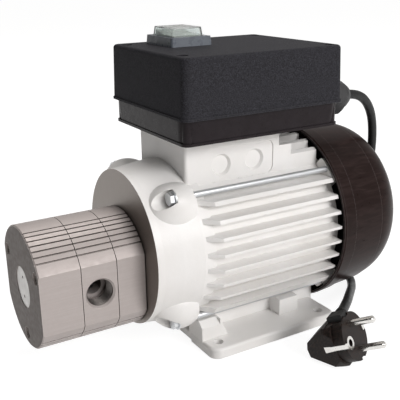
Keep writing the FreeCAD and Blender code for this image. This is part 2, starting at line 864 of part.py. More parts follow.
def cover_half_outline():
    """Section of the fan cover shell as a face in the X-Z plane."""
    up = shaft_height
    wall = cover_wall
    outer_arc = dome_edge(0.0)
    inner_arc = dome_edge(wall)
    face_x = cover_edge + dome_depth
    nut_room = tie_rod_offset * math.sqrt(2.0) + tie_nut_flats / 2.0 + 0.3
    bolt_end = frame_rear + rear_ear_length + tie_nut_height
    ends = {"outer": V(cover_edge, 0, up + cover_edge_radius - dome_edge_drop),
            "inner": V(cover_edge, 0, up + cover_edge_radius - dome_edge_drop - wall),
            "face": V(face_x, 0, up + dome_face_radius),
            "face_inner": V(face_x - wall, 0, up + dome_face_radius)}
    outer_line = [V(face_x - wall, 0, up), V(face_x, 0, up), ends["face"]]
    edges = [Part.makeLine(outer_line[0], outer_line[1]), Part.makeLine(outer_line[1], outer_line[2]), outer_arc]
    skin = [ends["outer"], V(cover_edge, 0, up + cover_edge_radius),
            V(cover_step + 0.6, 0, up + cover_band_radius), V(cover_step, 0, up + cover_step_radius),
            V(cover_rim_front + 1.5, 0, up + cover_rim_radius), V(cover_rim_front, 0, up + cover_rim_radius - 0.7),
            V(cover_rim_front, 0, up + cover_bore_radius), V(cover_step - 1, 0, up + cover_bore_radius),
            V(cover_step, 0, up + nut_room), V(bolt_end + 1, 0, up + nut_room),
            V(bolt_end + 4, 0, up + cover_band_radius - wall - 1.2), ends["inner"]]
    edges += [Part.makeLine(a, b) for a, b in zip(skin, skin[1:])]
    edges += [inner_arc, Part.makeLine(ends["face_inner"], outer_line[0])]
    return Part.Face(Part.Wire(Part.__sortEdges__(edges)))


def grille_slots():
    """Ring slots in the flat end, left whole across the spokes."""
    x0 = cover_edge + dome_depth - cover_wall - 1.0
    x1 = cover_edge + dome_depth + 1.0
    rings = []
    for k in range(grille_rings):
        inner = grille_inner_radius + k * grille_pitch
        rings.append(ring(inner + grille_slot_width, inner, x0, x1))
    half = grille_spoke_width / 2.0
    reach = dome_face_radius + 5.0
    spokes = [about_shaft(block(x0 - 1, x1 + 1, -half, half, shaft_height, shaft_height + reach),
                          360.0 * k / grille_spokes) for k in range(grille_spokes)]
    return Part.makeCompound(rings).cut(Part.makeCompound(spokes))


def fan_cover():
    shell = cover_half_outline().revolve(V(0, 0, shaft_height), V(1, 0, 0), 360)
    return shell.cut(grille_slots())


# Pump head


def pump_screw_places():
    return [(screw_circle_radius * math.cos(math.radians(a)),
             pump_axis_height + screw_circle_radius * math.sin(math.radians(a))) for a in screw_angles]


def pump_section(x0, x1, inset=0.0):
    """Round bar with flat sides, the outline of every section of the pump head."""
    half = pump_half_width - inset
    body = bar(pump_radius - inset, x0, x1, 0, pump_axis_height)
    return body.common(block(x0, x1, -half, half, pump_axis_height - pump_radius, pump_axis_height + pump_radius))


def section_grooves(x0, x1):
    """Lengthwise grooves in the four shoulders of a section."""
    grooves = []
    step = (groove_last_angle - groove_first_angle) / (groove_count - 1)
    half = groove_width / 2.0
    top = pump_axis_height + pump_radius
    tool = prism_x([(-half, top + 1), (-half * 0.7, top - groove_depth), (half * 0.7, top - groove_depth),
                    (half, top + 1)], x0 - 1, x1 + 1)
    for k in range(groove_count):
        angle = groove_first_angle + k * step
        for turn in (angle, -angle, 180 + angle, 180 - angle):
            grooves.append(tool.rotated(V(0, 0, pump_axis_height), V(1, 0, 0), turn))
    return grooves


def screw_holes(x0, x1):
    return [bar(screw_radius + screw_hole_gap, x0 - 1, x1 + 1, y, z) for y, z in pump_screw_places()]


def chamber(x0, x1, grow=0.0):
    """Figure-of-eight space that the two gears run in."""
    upper = bar(chamber_radius + grow, x0, x1, 0, shaft_height)
    return upper.fuse(bar(chamber_radius + grow, x0, x1, 0, idler_height))


def chamfered_front(x0):
    """Ring that takes the edge off the front face."""
    big = pump_radius + 2.0
    cone = turned([(x0 - 1, pump_radius - pump_edge_chamfer - 1), (x0 - 1, big),
                   (x0 + big - pump_radius + pump_edge_chamfer, big)], 0, pump_axis_height)
    return cone


def pump_front_cover():
    """Front section: bush and idler seats behind, bypass valve bore in front."""
    x0 = pump_front
    x1 = front_joint - half_gasket
    body = pump_section(x0, x1)
    cap_face = x0 + cap_recess
    cuts = section_grooves(x0, x1) + screw_holes(x0, x1) + [chamfered_front(x0)]
    cuts += [bar(screw_head_radius + 0.15, x0 - 1, x0 + screw_head_recess, y, z) for y, z in pump_screw_places()]
    cuts.append(bar(cap_radius + fit_gap, x0 - 1, cap_face + cap_thickness, 0, pump_axis_height))
    cuts.append(bar(cap_thread_radius + fit_gap, x0, cap_face + cap_thickness + cap_thread_length, 0,
                    pump_axis_height))
    cuts.append(bar(valve_bore_radius, x0, valve_seat, 0, pump_axis_height))
    cuts.append(bar(valve_passage_radius - 2, valve_seat - 1, x1 + 1, 0, pump_axis_height))
    cuts.append(bar(bush_radius + 0.02, x1 - bush_length - 0.5, x1 + 1))
    cuts.append(bar(idler_radius + 0.02, x1 - idler_grip - 0.2, x1 + 1, 0, idler_height))
    return body.cut(Part.makeCompound(cuts))


def pump_gear_plate():
    """Middle section: gear chambers and the two threaded ports in its flats."""
    x0 = front_joint + half_gasket
    x1 = rear_joint - half_gasket
    body = pump_section(x0, x1)
    cuts = section_grooves(x0, x1) + screw_holes(x0, x1) + [chamber(x0 - 1, x1 + 1)]
    for side in (-1, 1):
        mouth = V(port_x, side * pump_half_width, pump_axis_height)
        inward = V(0, -side, 0)
        cuts.append(Part.makeCylinder(port_radius, port_depth, mouth, inward))
        cuts.append(Part.makeCone(port_mouth_radius, port_radius, port_mouth_radius - port_radius, mouth, inward))
        cuts.append(Part.makeCylinder(port_passage_radius, pump_half_width - 4, mouth, inward))
    return body.cut(Part.makeCompound(cuts))


def pump_rear_cover():
    """Rear section: bush, shaft seal pocket and the register that centres it on the motor."""
    x0 = rear_joint + half_gasket
    x1 = flange_front - gasket_thickness
    body = pump_section(x0, x1)
    body = body.fuse(bar(register_radius, x1 - 1, flange_front + register_length))
    cuts = section_grooves(x0, x1) + screw_holes(x0, x1)
    cuts.append(bar(bush_radius + 0.02, x0 - 1, x0 + bush_length + 0.2))
    cuts.append(bar(seal_outer_radius + 0.02, x0 + bush_length + 1.2, flange_front + register_length + 1))
    cuts.append(bar(pump_shaft_radius + 0.5, x0 - 1, flange_front))
    cuts.append(bar(idler_radius + 0.02, x0 - 1, x0 + idler_grip + 0.2, 0, idler_height))
    return body.cut(Part.makeCompound(cuts))


def pump_gaskets():
    """Thin gaskets in the three joints of the pump head."""
    sheets = []
    for x in (front_joint - half_gasket, rear_joint - half_gasket, flange_front - gasket_thickness):
        sheet = pump_section(x, x + gasket_thickness, gasket_inset + groove_depth)
        cuts = screw_holes(x, x + gasket_thickness)
        if x < flange_front - gasket_thickness:
            cuts.append(chamber(x - 1, x + gasket_thickness + 1, 0.5))
        else:
            cuts.append(bar(register_radius + fit_gap, x - 1, x + gasket_thickness + 1))
        sheets.append(sheet.cut(Part.makeCompound(cuts)))
    return group(sheets)


def pump_screws():
    """Long socket screws through the whole head into the motor flange."""
    screws = []
    seat = pump_front + screw_head_recess
    for y, z in pump_screw_places():
        head = bar(screw_head_radius, seat - screw_head_height, seat, y, z)
        stem = bar(screw_radius, seat - 0.5, flange_front + screw_grip - 1, y, z)
        socket = hexagon(screw_socket_flats, seat - screw_head_height - 1,
                         seat - screw_head_height + screw_socket_depth, y, z)
        screws.append(head.fuse(stem).cut(socket))
    return group(screws)


# Gears


def involute(angle):
    return math.tan(angle) - angle


def tooth_half_angle(radius):
    """Half the angle that a tooth takes at a radius, in radians."""
    pressed = math.radians(pressure_angle)
    base = pitch_radius * math.cos(pressed)
    half = (math.pi * gear_module / 2.0 - tooth_backlash) / (2.0 * pitch_radius)
    local = math.acos(base / radius) if radius > base else 0.0
    return half + involute(pressed) - involute(local)


def spur_gear(x0, x1, z, bore, first_tooth):
    """Involute spur gear along X; first_tooth is the direction of a tooth, in degrees."""
    pressed = math.radians(pressure_angle)
    base = pitch_radius * math.cos(pressed)
    root = pitch_radius - dedendum_share * gear_module
    flank_steps = 4
    radii = [root] + [base + (gear_tip_radius - base) * k / flank_steps for k in range(flank_steps + 1)]
    outline = []
    for tooth in range(gear_teeth):
        middle = math.radians(first_tooth) + 2.0 * math.pi * tooth / gear_teeth
        flank = [(r, tooth_half_angle(r)) for r in radii]
        turn = [(r, middle - half) for r, half in flank] + [(r, middle + half) for r, half in reversed(flank)]
        outline += [(r * math.cos(a), z + r * math.sin(a)) for r, a in turn]
    return prism_x(outline, x0, x1).cut(bar(bore, x0 - 1, x1 + 1, 0, z))


def gear_span():
    return front_joint - half_gasket + gear_side_gap, rear_joint + half_gasket - gear_side_gap


def drive_gear():
    x0, x1 = gear_span()
    gear = spur_gear(x0, x1, shaft_height, pump_shaft_radius + 0.02, -90.0)
    return gear.cut(key_block(0.02).fuse(key_slot_to_ends()))


def key_slot_to_ends():
    """The keyway in the gear runs its whole width."""
    x0, x1 = gear_span()
    half = key_width / 2.0 + 0.02
    return block(x0 - 1, x1 + 1, -half, half, shaft_height,
                 shaft_height + pump_shaft_radius + key_height / 2.0 - 0.18)


def drive_key():
    return key_block(0.0)


def driven_gear():
    x0, x1 = gear_span()
    half_pitch = 180.0 / gear_teeth
    return spur_gear(x0, x1, idler_height, idler_radius + running_gap, 90.0 + half_pitch)


def idler_shaft():
    x0 = front_joint - half_gasket - idler_grip
    x1 = rear_joint + half_gasket + idler_grip
    return bar(idler_radius, x0, x1, 0, idler_height)


def pump_bushes():
    front = front_joint - half_gasket
    rear = rear_joint + half_gasket
    inner = pump_shaft_radius + running_gap
    return group([ring(bush_radius, inner, front - bush_length, front),
                  ring(bush_radius, inner, rear, rear + bush_length)])


def shaft_seal():
    """Lip seal: rubber ring with a groove in its open side."""
    x0 = rear_joint + half_gasket + bush_length + 1.2
    x1 = x0 + seal_length
    inner = pump_shaft_radius + running_gap
    middle = (inner + seal_outer_radius) / 2.0
    return turned([(x0, inner + 1.5), (x0, seal_outer_radius), (x1, seal_outer_radius), (x1, middle + 1),
                   (x0 + 1.5, middle + 1), (x0 + 1.5, middle - 1), (x1 - 1, inner), (x1 - 2, inner)])


# Bypass valve


def bypass_cap():
    x0 = pump_front + cap_recess
    x1 = x0 + cap_thickness
    body = bar(cap_radius, x0, x1, 0, pump_axis_height)
    body = body.fuse(bar(cap_thread_radius, x1 - 1, x1 + cap_thread_length, 0, pump_axis_height))
    spigot = bar(spring_coil_radius - spring_wire_radius - 0.3, x1, x1 + cap_thread_length + 1.5, 0,
                 pump_axis_height)
    holes = [bar(spanner_hole_radius, x0 - 1, x0 + spanner_hole_depth, 0, pump_axis_height + side * spanner_hole_offset)
             for side in (-1, 1)]
    return body.fuse(spigot).cut(Part.makeCompound(holes))


def poppet_back():
    return valve_seat - poppet_cone_length - poppet_length


def bypass_poppet():
    """Cup-shaped valve body with a cone that closes the passage."""
    rear = valve_seat - 0.1
    cone = rear - poppet_cone_length
    cup = spring_coil_radius + spring_wire_radius + 0.4
    back = poppet_back()
    return turned([(back, cup), (back, poppet_radius), (cone, poppet_radius), (rear, valve_passage_radius),
                   (rear, 0), (cone, 0), (cone, cup)], 0, pump_axis_height)


def bypass_spring():
    """Coil spring in the poppet's cup, short of the cap by the valve's travel."""
    cap_end = pump_front + cap_recess + cap_thickness + cap_thread_length
    x0 = cap_end + valve_travel + spring_wire_radius + 0.3
    x1 = valve_seat - 0.1 - poppet_cone_length - spring_wire_radius - 0.05
    length = x1 - x0
    helix = Part.makeHelix(length / spring_turns, length, spring_coil_radius)
    start = V(spring_coil_radius, 0, 0)
    section = Part.Wire(Part.makeCircle(spring_wire_radius, start, V(0, 1, 0)))
    coil = Part.Wire(helix.Edges).makePipeShell([section], True, True)
    coil.rotate(V(0, 0, 0), V(0, 1, 0), 90)
    coil.translate(V(x0, 0, pump_axis_height))
    return coil


# Terminal box


def box_screw_places():
    x = cover_length / 2.0 - box_screw_inset_x
    front = cover_width / 2.0 - front_screw_inset_y
    rear = cover_width / 2.0 - rear_screw_inset_y
    return [(box_centre_x + sx * x, sy * y) for sx, y in ((-1, front), (1, rear)) for sy in (-1, 1)]


def base_screw_places():
    inset = pedestal_wall + base_boss_radius - base_boss_bite
    y = rib_half_width - inset
    return [(x, sy * y) for x in (frame_front + inset, pedestal_rear - inset) for sy in (-1, 1)]


def terminal_base():
    """Tray that carries the cover, with a raised tab for the cable gland."""
    y = base_width / 2.0
    tub = rounded_block(box_front, box_rear, -y, y, base_bottom, rim_height, base_corner_radius, -base_draft)
    inset = base_column_radius + base_column_inset
    columns = [post(base_column_radius, x, sy * (y - inset), base_bottom, rim_height)
               for x in (box_front + inset, box_rear - inset) for sy in (-1, 1)]
    lip = rounded_block(box_front - base_lip_reach, box_rear + base_lip_reach, -y - base_lip_reach,
                        y + base_lip_reach, base_bottom, base_bottom + base_lip_height, box_corner_radius)
    inner = rounded_block(box_front + box_wall, box_rear - box_wall, -y + box_wall, y - box_wall,
                          base_bottom + base_floor, rim_height + 1, base_corner_radius - box_wall)
    tab = block(gland_seat - box_wall, gland_seat, gland_y - gland_tab_width / 2.0,
                gland_y + gland_tab_width / 2.0, base_bottom + base_floor - 1, gland_height + gland_tab_rise)
    posts = [post(screw_post_radius, x, y, base_bottom, rim_height - 0.5) for x, y in box_screw_places()]
    shape = tub.fuse(lip).cut(inner)
    shape = shape.multiFuse(posts + columns + cradle() + [tab])
    gland_hole = bar(gland_shank_radius + 0.1, gland_seat - 10, gland_seat + 1, gland_y, gland_height)
    clearance = bar(gland_flats / math.sqrt(3.0) + gland_notch_gap, gland_seat, box_rear + 5, gland_y,
                    gland_height)
    wire_hole = post(wire_hole_radius + 2, (frame_front + pedestal_rear) / 2.0, 0, base_bottom - 1,
                     base_bottom + base_floor + 1)
    holes = [post(cover_screw_radius + 0.05, x, y, base_bottom + 4, rim_height) for x, y in box_screw_places()]
    holes += [post(base_screw_radius + 0.2, x, y, base_bottom - 1, base_bottom + base_floor + 1)
              for x, y in base_screw_places()]
    return shape.cut(Part.makeCompound([gland_hole, clearance, wire_hole] + holes)).removeSplitter()


def terminal_cover():
    """Deep moulded lid with a switch cut-out and four screw recesses."""
    x0 = box_centre_x - cover_length / 2.0
    x1 = box_centre_x + cover_length / 2.0
    y = cover_width / 2.0
    body = rounded_block(x0, x1, -y, y, rim_height, cover_top, box_corner_radius, cover_draft)
    top_edges = edges_where(body, lambda b: b.ZMin > cover_top - 0.01)
    body = body.makeFillet(cover_edge_fillet, top_edges)
    inside = rounded_block(x0 + box_wall, x1 - box_wall, -y + box_wall, y - box_wall, rim_height - 1,
                           cover_inner_top, box_corner_radius - box_wall / 2.0, cover_draft)
    posts = [post(screw_post_radius, px, py, rim_height + 0.2, cover_inner_top + 0.5)
             for px, py in box_screw_places()]
    reach = cover_lip_reach
    lip = rounded_block(x0 - reach, x1 + reach, -y - reach, y + reach, rim_height,
                        rim_height + cover_lip_height, box_corner_radius + reach)
    body = body.fuse(lip).cut(inside).multiFuse(posts)
    notch_half = gland_flats / math.sqrt(3.0) + gland_notch_gap
    notch = bar(notch_half, gland_seat, x1 + 2, gland_y, gland_height)
    window = block(switch_front + switch_body_margin, switch_front + switch_length - switch_body_margin,
                   switch_near + switch_body_margin, switch_near + switch_depth - switch_body_margin,
                   cover_inner_top - 1, cover_top + 1)
    cuts = [notch, window]
    for px, py in box_screw_places():
        cuts.append(post(cover_screw_radius + 0.3, px, py, rim_height - 1, cover_top + 1))
        cuts.append(post(cover_screw_head_radius + 0.4, px, py, cover_top - cover_screw_recess, cover_top + 1))
    return body.cut(Part.makeCompound(cuts)).removeSplitter()


def terminal_gasket():
    """Sealing strip inside the rim, on top of the base wall."""
    y = base_width / 2.0
    inset = seal_strip_inset
    outer = rounded_block(box_front + inset, box_rear - inset, -y + inset, y - inset, rim_height,
                          rim_height + seal_strip_height, base_corner_radius - inset)
    trim = inset + seal_strip_width
    inner = rounded_block(box_front + trim, box_rear - trim, -y + trim, y - trim, rim_height - 1,
                          rim_height + seal_strip_height + 1, base_corner_radius - trim)
    cuts = [inner]
    cuts += [post(screw_post_radius + screw_post_gap, px, py, rim_height - 1, rim_height + 5)
             for px, py in box_screw_places()]
    half = gland_flats / math.sqrt(3.0) + gland_notch_gap
    cuts.append(block(gland_seat - box_wall - 1, box_rear + 1, gland_y - half, gland_y + half,
                      rim_height - 1, rim_height + 5))
    return outer.cut(Part.makeCompound(cuts))


def cover_screws():
    screws = []
    seat = cover_top - cover_screw_recess
    for x, y in box_screw_places():
        head = post(cover_screw_head_radius, x, y, seat, seat + cover_screw_head_height)
        stem = post(cover_screw_radius, x, y, base_bottom + 6, seat + 0.5)
        slot = block(x - cover_screw_head_radius, x + cover_screw_head_radius, y - 0.5, y + 0.5,
                     seat + cover_screw_head_height - 1.0, seat + cover_screw_head_height + 1)
        screws.append(head.fuse(stem).cut(slot))
    return group(screws)


def base_screws():
    """Screws that hold the tray to the pedestal."""
    screws = []
    seat = base_bottom + base_floor
    for x, y in base_screw_places():
        head = post(base_screw_head_radius, x, y, seat, seat + base_screw_head_height)
        screws.append(head.fuse(post(base_screw_radius, x, y, pedestal_top - base_screw_grip, seat + 0.5)))
    return group(screws)


def cradle():
    """Two ribs that hold the capacitor clear of the screw heads."""
    ribs = []
    half = capacitor_radius / 2.0
    z0 = base_bottom + base_floor - 0.5
    for x in (capacitor_front + capacitor_length * 0.25, capacitor_front + capacitor_length * 0.75):
        ribs.append(block(x - 1.5, x + 1.5, capacitor_y - half, capacitor_y + half, z0,
                          base_bottom + base_floor + capacitor_rise))
    return ribs


def capacitor():
    """Running capacitor lying on its cradle in the tray."""
    z = base_bottom + base_floor + capacitor_rise + capacitor_radius
    x1 = capacitor_front + capacitor_length
    can = turned([(capacitor_front, 0), (capacitor_front, capacitor_radius - 1),
                  (capacitor_front + 1, capacitor_radius), (x1, capacitor_radius), (x1, 0)], capacitor_y, z)
    stud = bar(capacitor_stud_radius, x1 - 1, x1 + capacitor_stud_length, capacitor_y, z)
    return can.fuse(stud)


def terminal_block():
    z0 = base_bottom + base_floor
    body = block(block_front, block_front + block_length, block_y, block_y + block_depth, z0, z0 + block_height)
    pitch = block_length / block_ways
    cuts = []
    for k in range(block_ways):
        x = block_front + pitch * (k + 0.5)
        cuts.append(post(block_screw_radius, x, block_y + block_depth / 2.0, z0 + block_height - 4,
                         z0 + block_height + 1))
        if k:
            wall = block_front + pitch * k
            cuts.append(block(wall - 0.5, wall + 0.5, block_y - 1, block_y + block_depth + 1,
                              z0 + block_height - 3, z0 + block_height + 1))
    return body.cut(Part.makeCompound(cuts))


# Switch


def rocker_pivot():
    """Point on the rocker's axle, which runs along X."""
    return V(boot_front + boot_length / 2.0, boot_near + boot_depth / 2.0,
             cover_top + switch_frame_height - rocker_pivot_drop)


def rocker_spans():
    x0 = boot_front + boot_wall + rocker_gap
    x1 = boot_front + boot_length - boot_wall - rocker_gap
    y0 = boot_near + boot_wall + rocker_gap
    y1 = boot_near + boot_depth - boot_wall - rocker_gap
    return x0, x1, y0, y1


def switch_body():
    """Snap-in housing: frame on the cover, body below it and a well for the rocker."""
    z0 = cover_top
    frame = rounded_block(switch_front, switch_front + switch_length, switch_near, switch_near + switch_depth,
                          z0, z0 + switch_frame_height, switch_corner_radius, switch_frame_bevel / 2.0)
    margin = switch_body_margin + 0.3
    body = block(switch_front + margin, switch_front + switch_length - margin, switch_near + margin,
                 switch_near + switch_depth - margin, z0 - switch_body_depth, z0 + 1)
    x0, x1, y0, y1 = rocker_spans()
    well = block(x0 - 0.3, x1 + 0.3, y0 - 0.3, y1 + 0.3, z0 + switch_frame_height - switch_well_depth,
                 z0 + switch_frame_height + 1)
    pivot = rocker_pivot()
    axle = bar(rocker_pin_radius + running_gap, x0 - 1.5, x1 + 1.5, pivot.y, pivot.z)
    return frame.fuse(body).cut(well.fuse(axle))


def switch_rocker():
    """Rocker with a shallow V top, tipped to its off side."""
    x0, x1, y0, y1 = rocker_spans()
    pivot = rocker_pivot()
    half = (y1 - y0) / 2.0 - 0.4
    top = cover_top + switch_frame_height - pivot.z + rocker_half_thickness
    dip = 1.2
    low = -rocker_half_thickness
    outline = [(-half, low + 1.2), (0, low), (half, low + 1.2), (half, top), (0, top - dip), (-half, top)]
    points = [V(x0, pivot.y + y, pivot.z + z) for y, z in outline]
    body = Part.Face(Part.makePolygon(points + points[:1])).extrude(V(x1 - x0, 0, 0))
    body = body.fuse(bar(rocker_pin_radius, x0 - 1.3, x1 + 1.3, pivot.y, pivot.z))
    return body.rotated(pivot, V(1, 0, 0), rocker_tilt)


def switch_boot():
    """Clear cover over the rocker, open below."""
    z0 = cover_top + switch_frame_height
    outer = rounded_block(boot_front, boot_front + boot_length, boot_near, boot_near + boot_depth, z0,
                          z0 + boot_height, 1.5, boot_taper)
    wall = boot_wall
    inner = rounded_block(boot_front + wall, boot_front + boot_length - wall, boot_near + wall,
                          boot_near + boot_depth - wall, z0 - 1, z0 + boot_height - wall, 1.0, boot_taper)
    return outer.cut(inner)


# Cable gland


def gland_body():
    x0 = gland_seat
    flange = hexagon(gland_flats, x0, x0 + gland_flange_length, gland_y, gland_height, 10)
    shank = bar(gland_shank_radius, x0 - box_wall - gland_locknut_length - 1, x0 + 1, gland_y, gland_height)
    thread = bar(gland_thread_radius, x0, x0 + gland_flange_length + gland_thread_length, gland_y, gland_height)
    bore = bar(gland_bore_radius, x0 - 20, x0 + 30, gland_y, gland_height)
    pocket_front = x0 + gland_flange_length + gland_thread_length - gland_seal_length
    pocket = bar(gland_seal_radius + fit_gap, pocket_front, x0 + 40, gland_y, gland_height)
    return flange.multiFuse([shank, thread]).cut(bore.fuse(pocket)).removeSplitter()


def gland_locknut():
    x1 = gland_seat - box_wall
    nut = hexagon(gland_locknut_flats, x1 - gland_locknut_length, x1, gland_y, gland_height)
    return nut.cut(bar(gland_shank_radius + 0.05, x1 - 10, x1 + 1, gland_y, gland_height))


def gland_nut_front():
    return gland_seat + gland_flange_length + 0.6


def gland_nut():
    """Hexagonal dome nut that closes on the seal."""
    x0 = gland_nut_front()
    x1 = x0 + gland_nut_length
    hexed = hexagon(gland_flats, x0, x1, gland_y, gland_height, 10)
    corner = gland_flats / math.sqrt(3.0)
    trim = turned([(x0, 0), (x0, corner), (x1 - 1.5, corner), (x1, corner - 1.5), (x1, 0)], gland_y, gland_height)
    shoulder = gland_flats / 2.0 - 1.0
    dome = turned([(x1 - 1, 0), (x1 - 1, shoulder), (x1 + gland_dome_length * 0.45, shoulder - 1.2),
                   (x1 + gland_dome_length * 0.85, shoulder - 3.6), (x1 + gland_dome_length, gland_dome_tip_radius),
                   (x1 + gland_dome_length, 0)], gland_y, gland_height)
    socket = bar(gland_thread_radius + fit_gap, x0 - 1, x1 + 1.4, gland_y, gland_height)
    mouth = bar(cord_radius + gland_mouth_gap, x0, x1 + gland_dome_length + 1, gland_y, gland_height)
    return hexed.common(trim).fuse(dome).cut(socket.fuse(mouth)).removeSplitter()


def gland_seal():
    """Rubber sleeve that grips the cable."""
    x1 = gland_seat + gland_flange_length + gland_thread_length
    return ring(gland_seal_radius, cord_radius, x1 - gland_seal_length, x1, gland_y, gland_height)


def gland_mouth():
    """Outer end of the gland, where the cord comes free."""
    return gland_nut_front() + gland_nut_length + gland_dome_length


# Mains lead


def rounded_path(points):
    """Straight runs joined by tangent arcs; returns the wire and the arc radii."""
    edges = []
    radii = []
    start = points[0]
    for before, corner, after in zip(points, points[1:], points[2:]):
        into = before - corner
        out = after - corner
        reach = 0.45 * min(into.Length, out.Length)
        u = into.normalize()
        w = out.normalize()
        turn = math.pi - u.getAngle(w)
        p0 = corner + u * reach
        p1 = corner + w * reach
        radius = reach / math.tan(turn / 2.0)
        centre = corner + (u + w).normalize() * math.hypot(radius, reach)
        middle = centre + (corner - centre).normalize() * radius
        edges.append(Part.makeLine(start, p0))
        edges.append(Part.Arc(p0, middle, p1).toShape())
        radii.append(radius)
        start = p1
    edges.append(Part.makeLine(start, points[-1]))
    return Part.Wire(edges), radii


def cord_tube(name, points):
    path, radii = rounded_path(points)
    section = Part.Wire(Part.makeCircle(cord_radius, points[0], points[1] - points[0]))
    tube = path.makePipeShell([section], True, True)
    share = tube.Volume / (math.pi * cord_radius ** 2 * path.Length)
    print("%s length %.1f volume share %.4f radii %s" % (name, path.Length, share,
                                                         " ".join("%.0f" % r for r in radii)))
    return tube, path.Length


def lying():
    return cord_radius + floor_lift


def coil_column():
    """Radius of the outer column of turns, where both leads leave the coil."""
    return coil_mid_radius + (coil_columns - 1) * cord_radius


def coil_lead(angle, layer):
    """Tangent point, free end and direction of winding of a lead at an angle round the coil."""
    a = math.radians(angle)
    along = V(-math.sin(a), math.cos(a), 0)
    z = lying() + layer * 2 * cord_radius
    touch = V(coil_x + coil_column() * math.cos(a), coil_y + coil_column() * math.sin(a), z)
    way = 1 if layer else -1
    return touch, touch + along * (way * coil_lead_length), along


def cord_from_gland_points():
    """From the gland down behind the fan cover and round to the coil."""
    end, along = coil_lead(coil_start_angle, 0)[1:]
    seal_front = gland_seat + gland_flange_length + gland_thread_length - gland_seal_length
    return [V(seal_front + cord_grip, gland_y, gland_height), V(96, gland_y, gland_height), V(113.7, -23.6, 157.9),
            V(125.9, -18.7, 142.8), V(130.9, -15.3, 124.6), V(133, -12.5, 107), V(133, -5, 78), V(133.5, 6, 49),
            V(134.5, 23, 23), V(135, 46, 7), V(134.5, 68, lying()), end - along * 22, end]


def cord_to_plug_points():
    """From the coil under the end of the fan cover and up into the plug."""
    end, along = coil_lead(coil_end_angle, 1)[1:]
    out = grommet_point(15.0)
    return [end, end + along * 19, V(92.5, 47.5, 7), V(104.5, 32.5, lying()), V(113.6, 17, lying()),
            V(116.8, -1, lying()), V(112.6, -18.5, lying()), V(100.5, -33.5, 4.5), V(85.5, -48, 10.5),
            V(66, -67, 19), out, grommet_point(0.0)]


def cord_coil():
    """Outer shape of the coiled length, with the start of both leads."""
    z0 = floor_lift
    half = coil_columns * cord_radius
    height = coil_layers * 2 * cord_radius
    outer = post(coil_mid_radius + half, coil_x, coil_y, z0, z0 + height)
    body = outer.cut(post(coil_mid_radius - half, coil_x, coil_y, z0 - 1, z0 + height + 1))
    for angle, layer in ((coil_start_angle, 0), (coil_end_angle, 1)):
        touch, end, along = coil_lead(angle, layer)
        body = body.fuse(Part.makeCylinder(cord_radius, (end - touch).Length, touch, end - touch))
    return body


def coil_tie():
    """Strap round the section of the coil."""
    half = coil_columns * cord_radius + 0.2
    height = floor_lift + coil_layers * 2 * cord_radius + 0.1
    t = tie_thickness
    y0 = coil_mid_radius - half
    y1 = coil_mid_radius + half
    strap = block(-tie_width / 2.0, tie_width / 2.0, y0 - t, y1 + t, 0.02, height + t)
    strap = strap.cut(block(-tie_width, tie_width, y0, y1, 0.08, height))
    strap.rotate(V(0, 0, 0), V(0, 0, 1), tie_angle)
    strap.translate(V(coil_x, coil_y, 0))
    return strap


# Plug: built with its face at the origin, pins along +X, the cord leaving along +Z


def plug_side_outline():
    return [(0, -plug_face_radius), (0, plug_face_radius), (-plug_face_length, plug_top + 1.0),
            (plug_top_end, plug_top), (-plug_length, plug_back_top), (-plug_length, plug_back_bottom),
            (plug_heel, -plug_heel_drop), (-plug_face_length, -plug_face_radius)]


def plug_shape():
    """Moulded angle plug: round face drawn back into a wedge-shaped grip."""
    side = prism_y([(x, z) for x, z in plug_side_outline()], -plug_face_radius, plug_face_radius)
    front = plug_face_radius
    back = plug_back_half_width
    plan = [V(0, -front, -40), V(0, front, -40), V(-plug_face_length, front, -40),
            V(-plug_length, back, -40), V(-plug_length, -back, -40), V(-plug_face_length, -front, -40)]
    plan = Part.Face(Part.makePolygon(plan + plan[:1])).extrude(V(0, 0, 80))
    grip = side.common(plan)
    barrel = Part.makeCylinder(plug_face_radius, plug_face_length + 3.0, V(-plug_face_length - 3.0, 0, 0), V(1, 0, 0))
    cone = Part.makeCone(plug_face_radius + 7.5, plug_face_radius, plug_length, V(-plug_length, 0, 0), V(1, 0, 0))
    upper = edges_where(grip, lambda b: b.XMax < -plug_face_length + 0.1 and b.ZMin > plug_back_top - 0.1
                        and b.XLength > 1.0)
    grip = grip.makeChamfer(plug_edge_chamfer, upper)
    grip = grip.common(cone)
    keep = block(-plug_length - 1, -plug_face_length, -60, 60, -60, 60)
    flat = block(-plug_face_length - 4, grommet_front, -30, 30, plug_top, 30)
    return barrel.fuse(grip.common(keep)).removeSplitter().cut(flat)


def plug_lift():
    """Height of the plug's face centre that rests its heel on the floor."""
    turned_shape = plug_turn(plug_shape())
    return -turned_shape.optimalBoundingBox(False).ZMin + floor_lift


def plug_tilt():
    """Angle that lays the underside of the grip on the floor."""
    rise = plug_heel_drop + plug_back_bottom
    return math.degrees(math.atan2(rise, plug_length + plug_heel))


def plug_turn(shape):
    shape = shape.rotated(V(0, 0, 0), V(1, 0, 0), plug_roll)
    shape = shape.rotated(V(0, 0, 0), V(0, 1, 0), -plug_tilt())
    return shape.rotated(V(0, 0, 0), V(0, 0, 1), plug_azimuth)


plug_height = plug_lift()


def plug_place(item):
    """Moves a point or a shape from the plug's own axes to where the plug lies."""
    if isinstance(item, FreeCAD.Vector):
        marker = plug_turn(Part.Vertex(item))
        return marker.Point + V(plug_x, plug_y, plug_height)
    return plug_turn(item).translated(V(plug_x, plug_y, plug_height))


def sleeve_axis():
    """Tip and direction of the cable sleeve in the plug's own axes."""
    a = math.radians(sleeve_droop)
    b = math.radians(sleeve_swing)
    tip = V(grommet_front - grommet_length / 2.0, sleeve_reach, sleeve_end_height)
    return tip, V(-math.cos(a) * math.sin(b), math.cos(a) * math.cos(b), -math.sin(a))


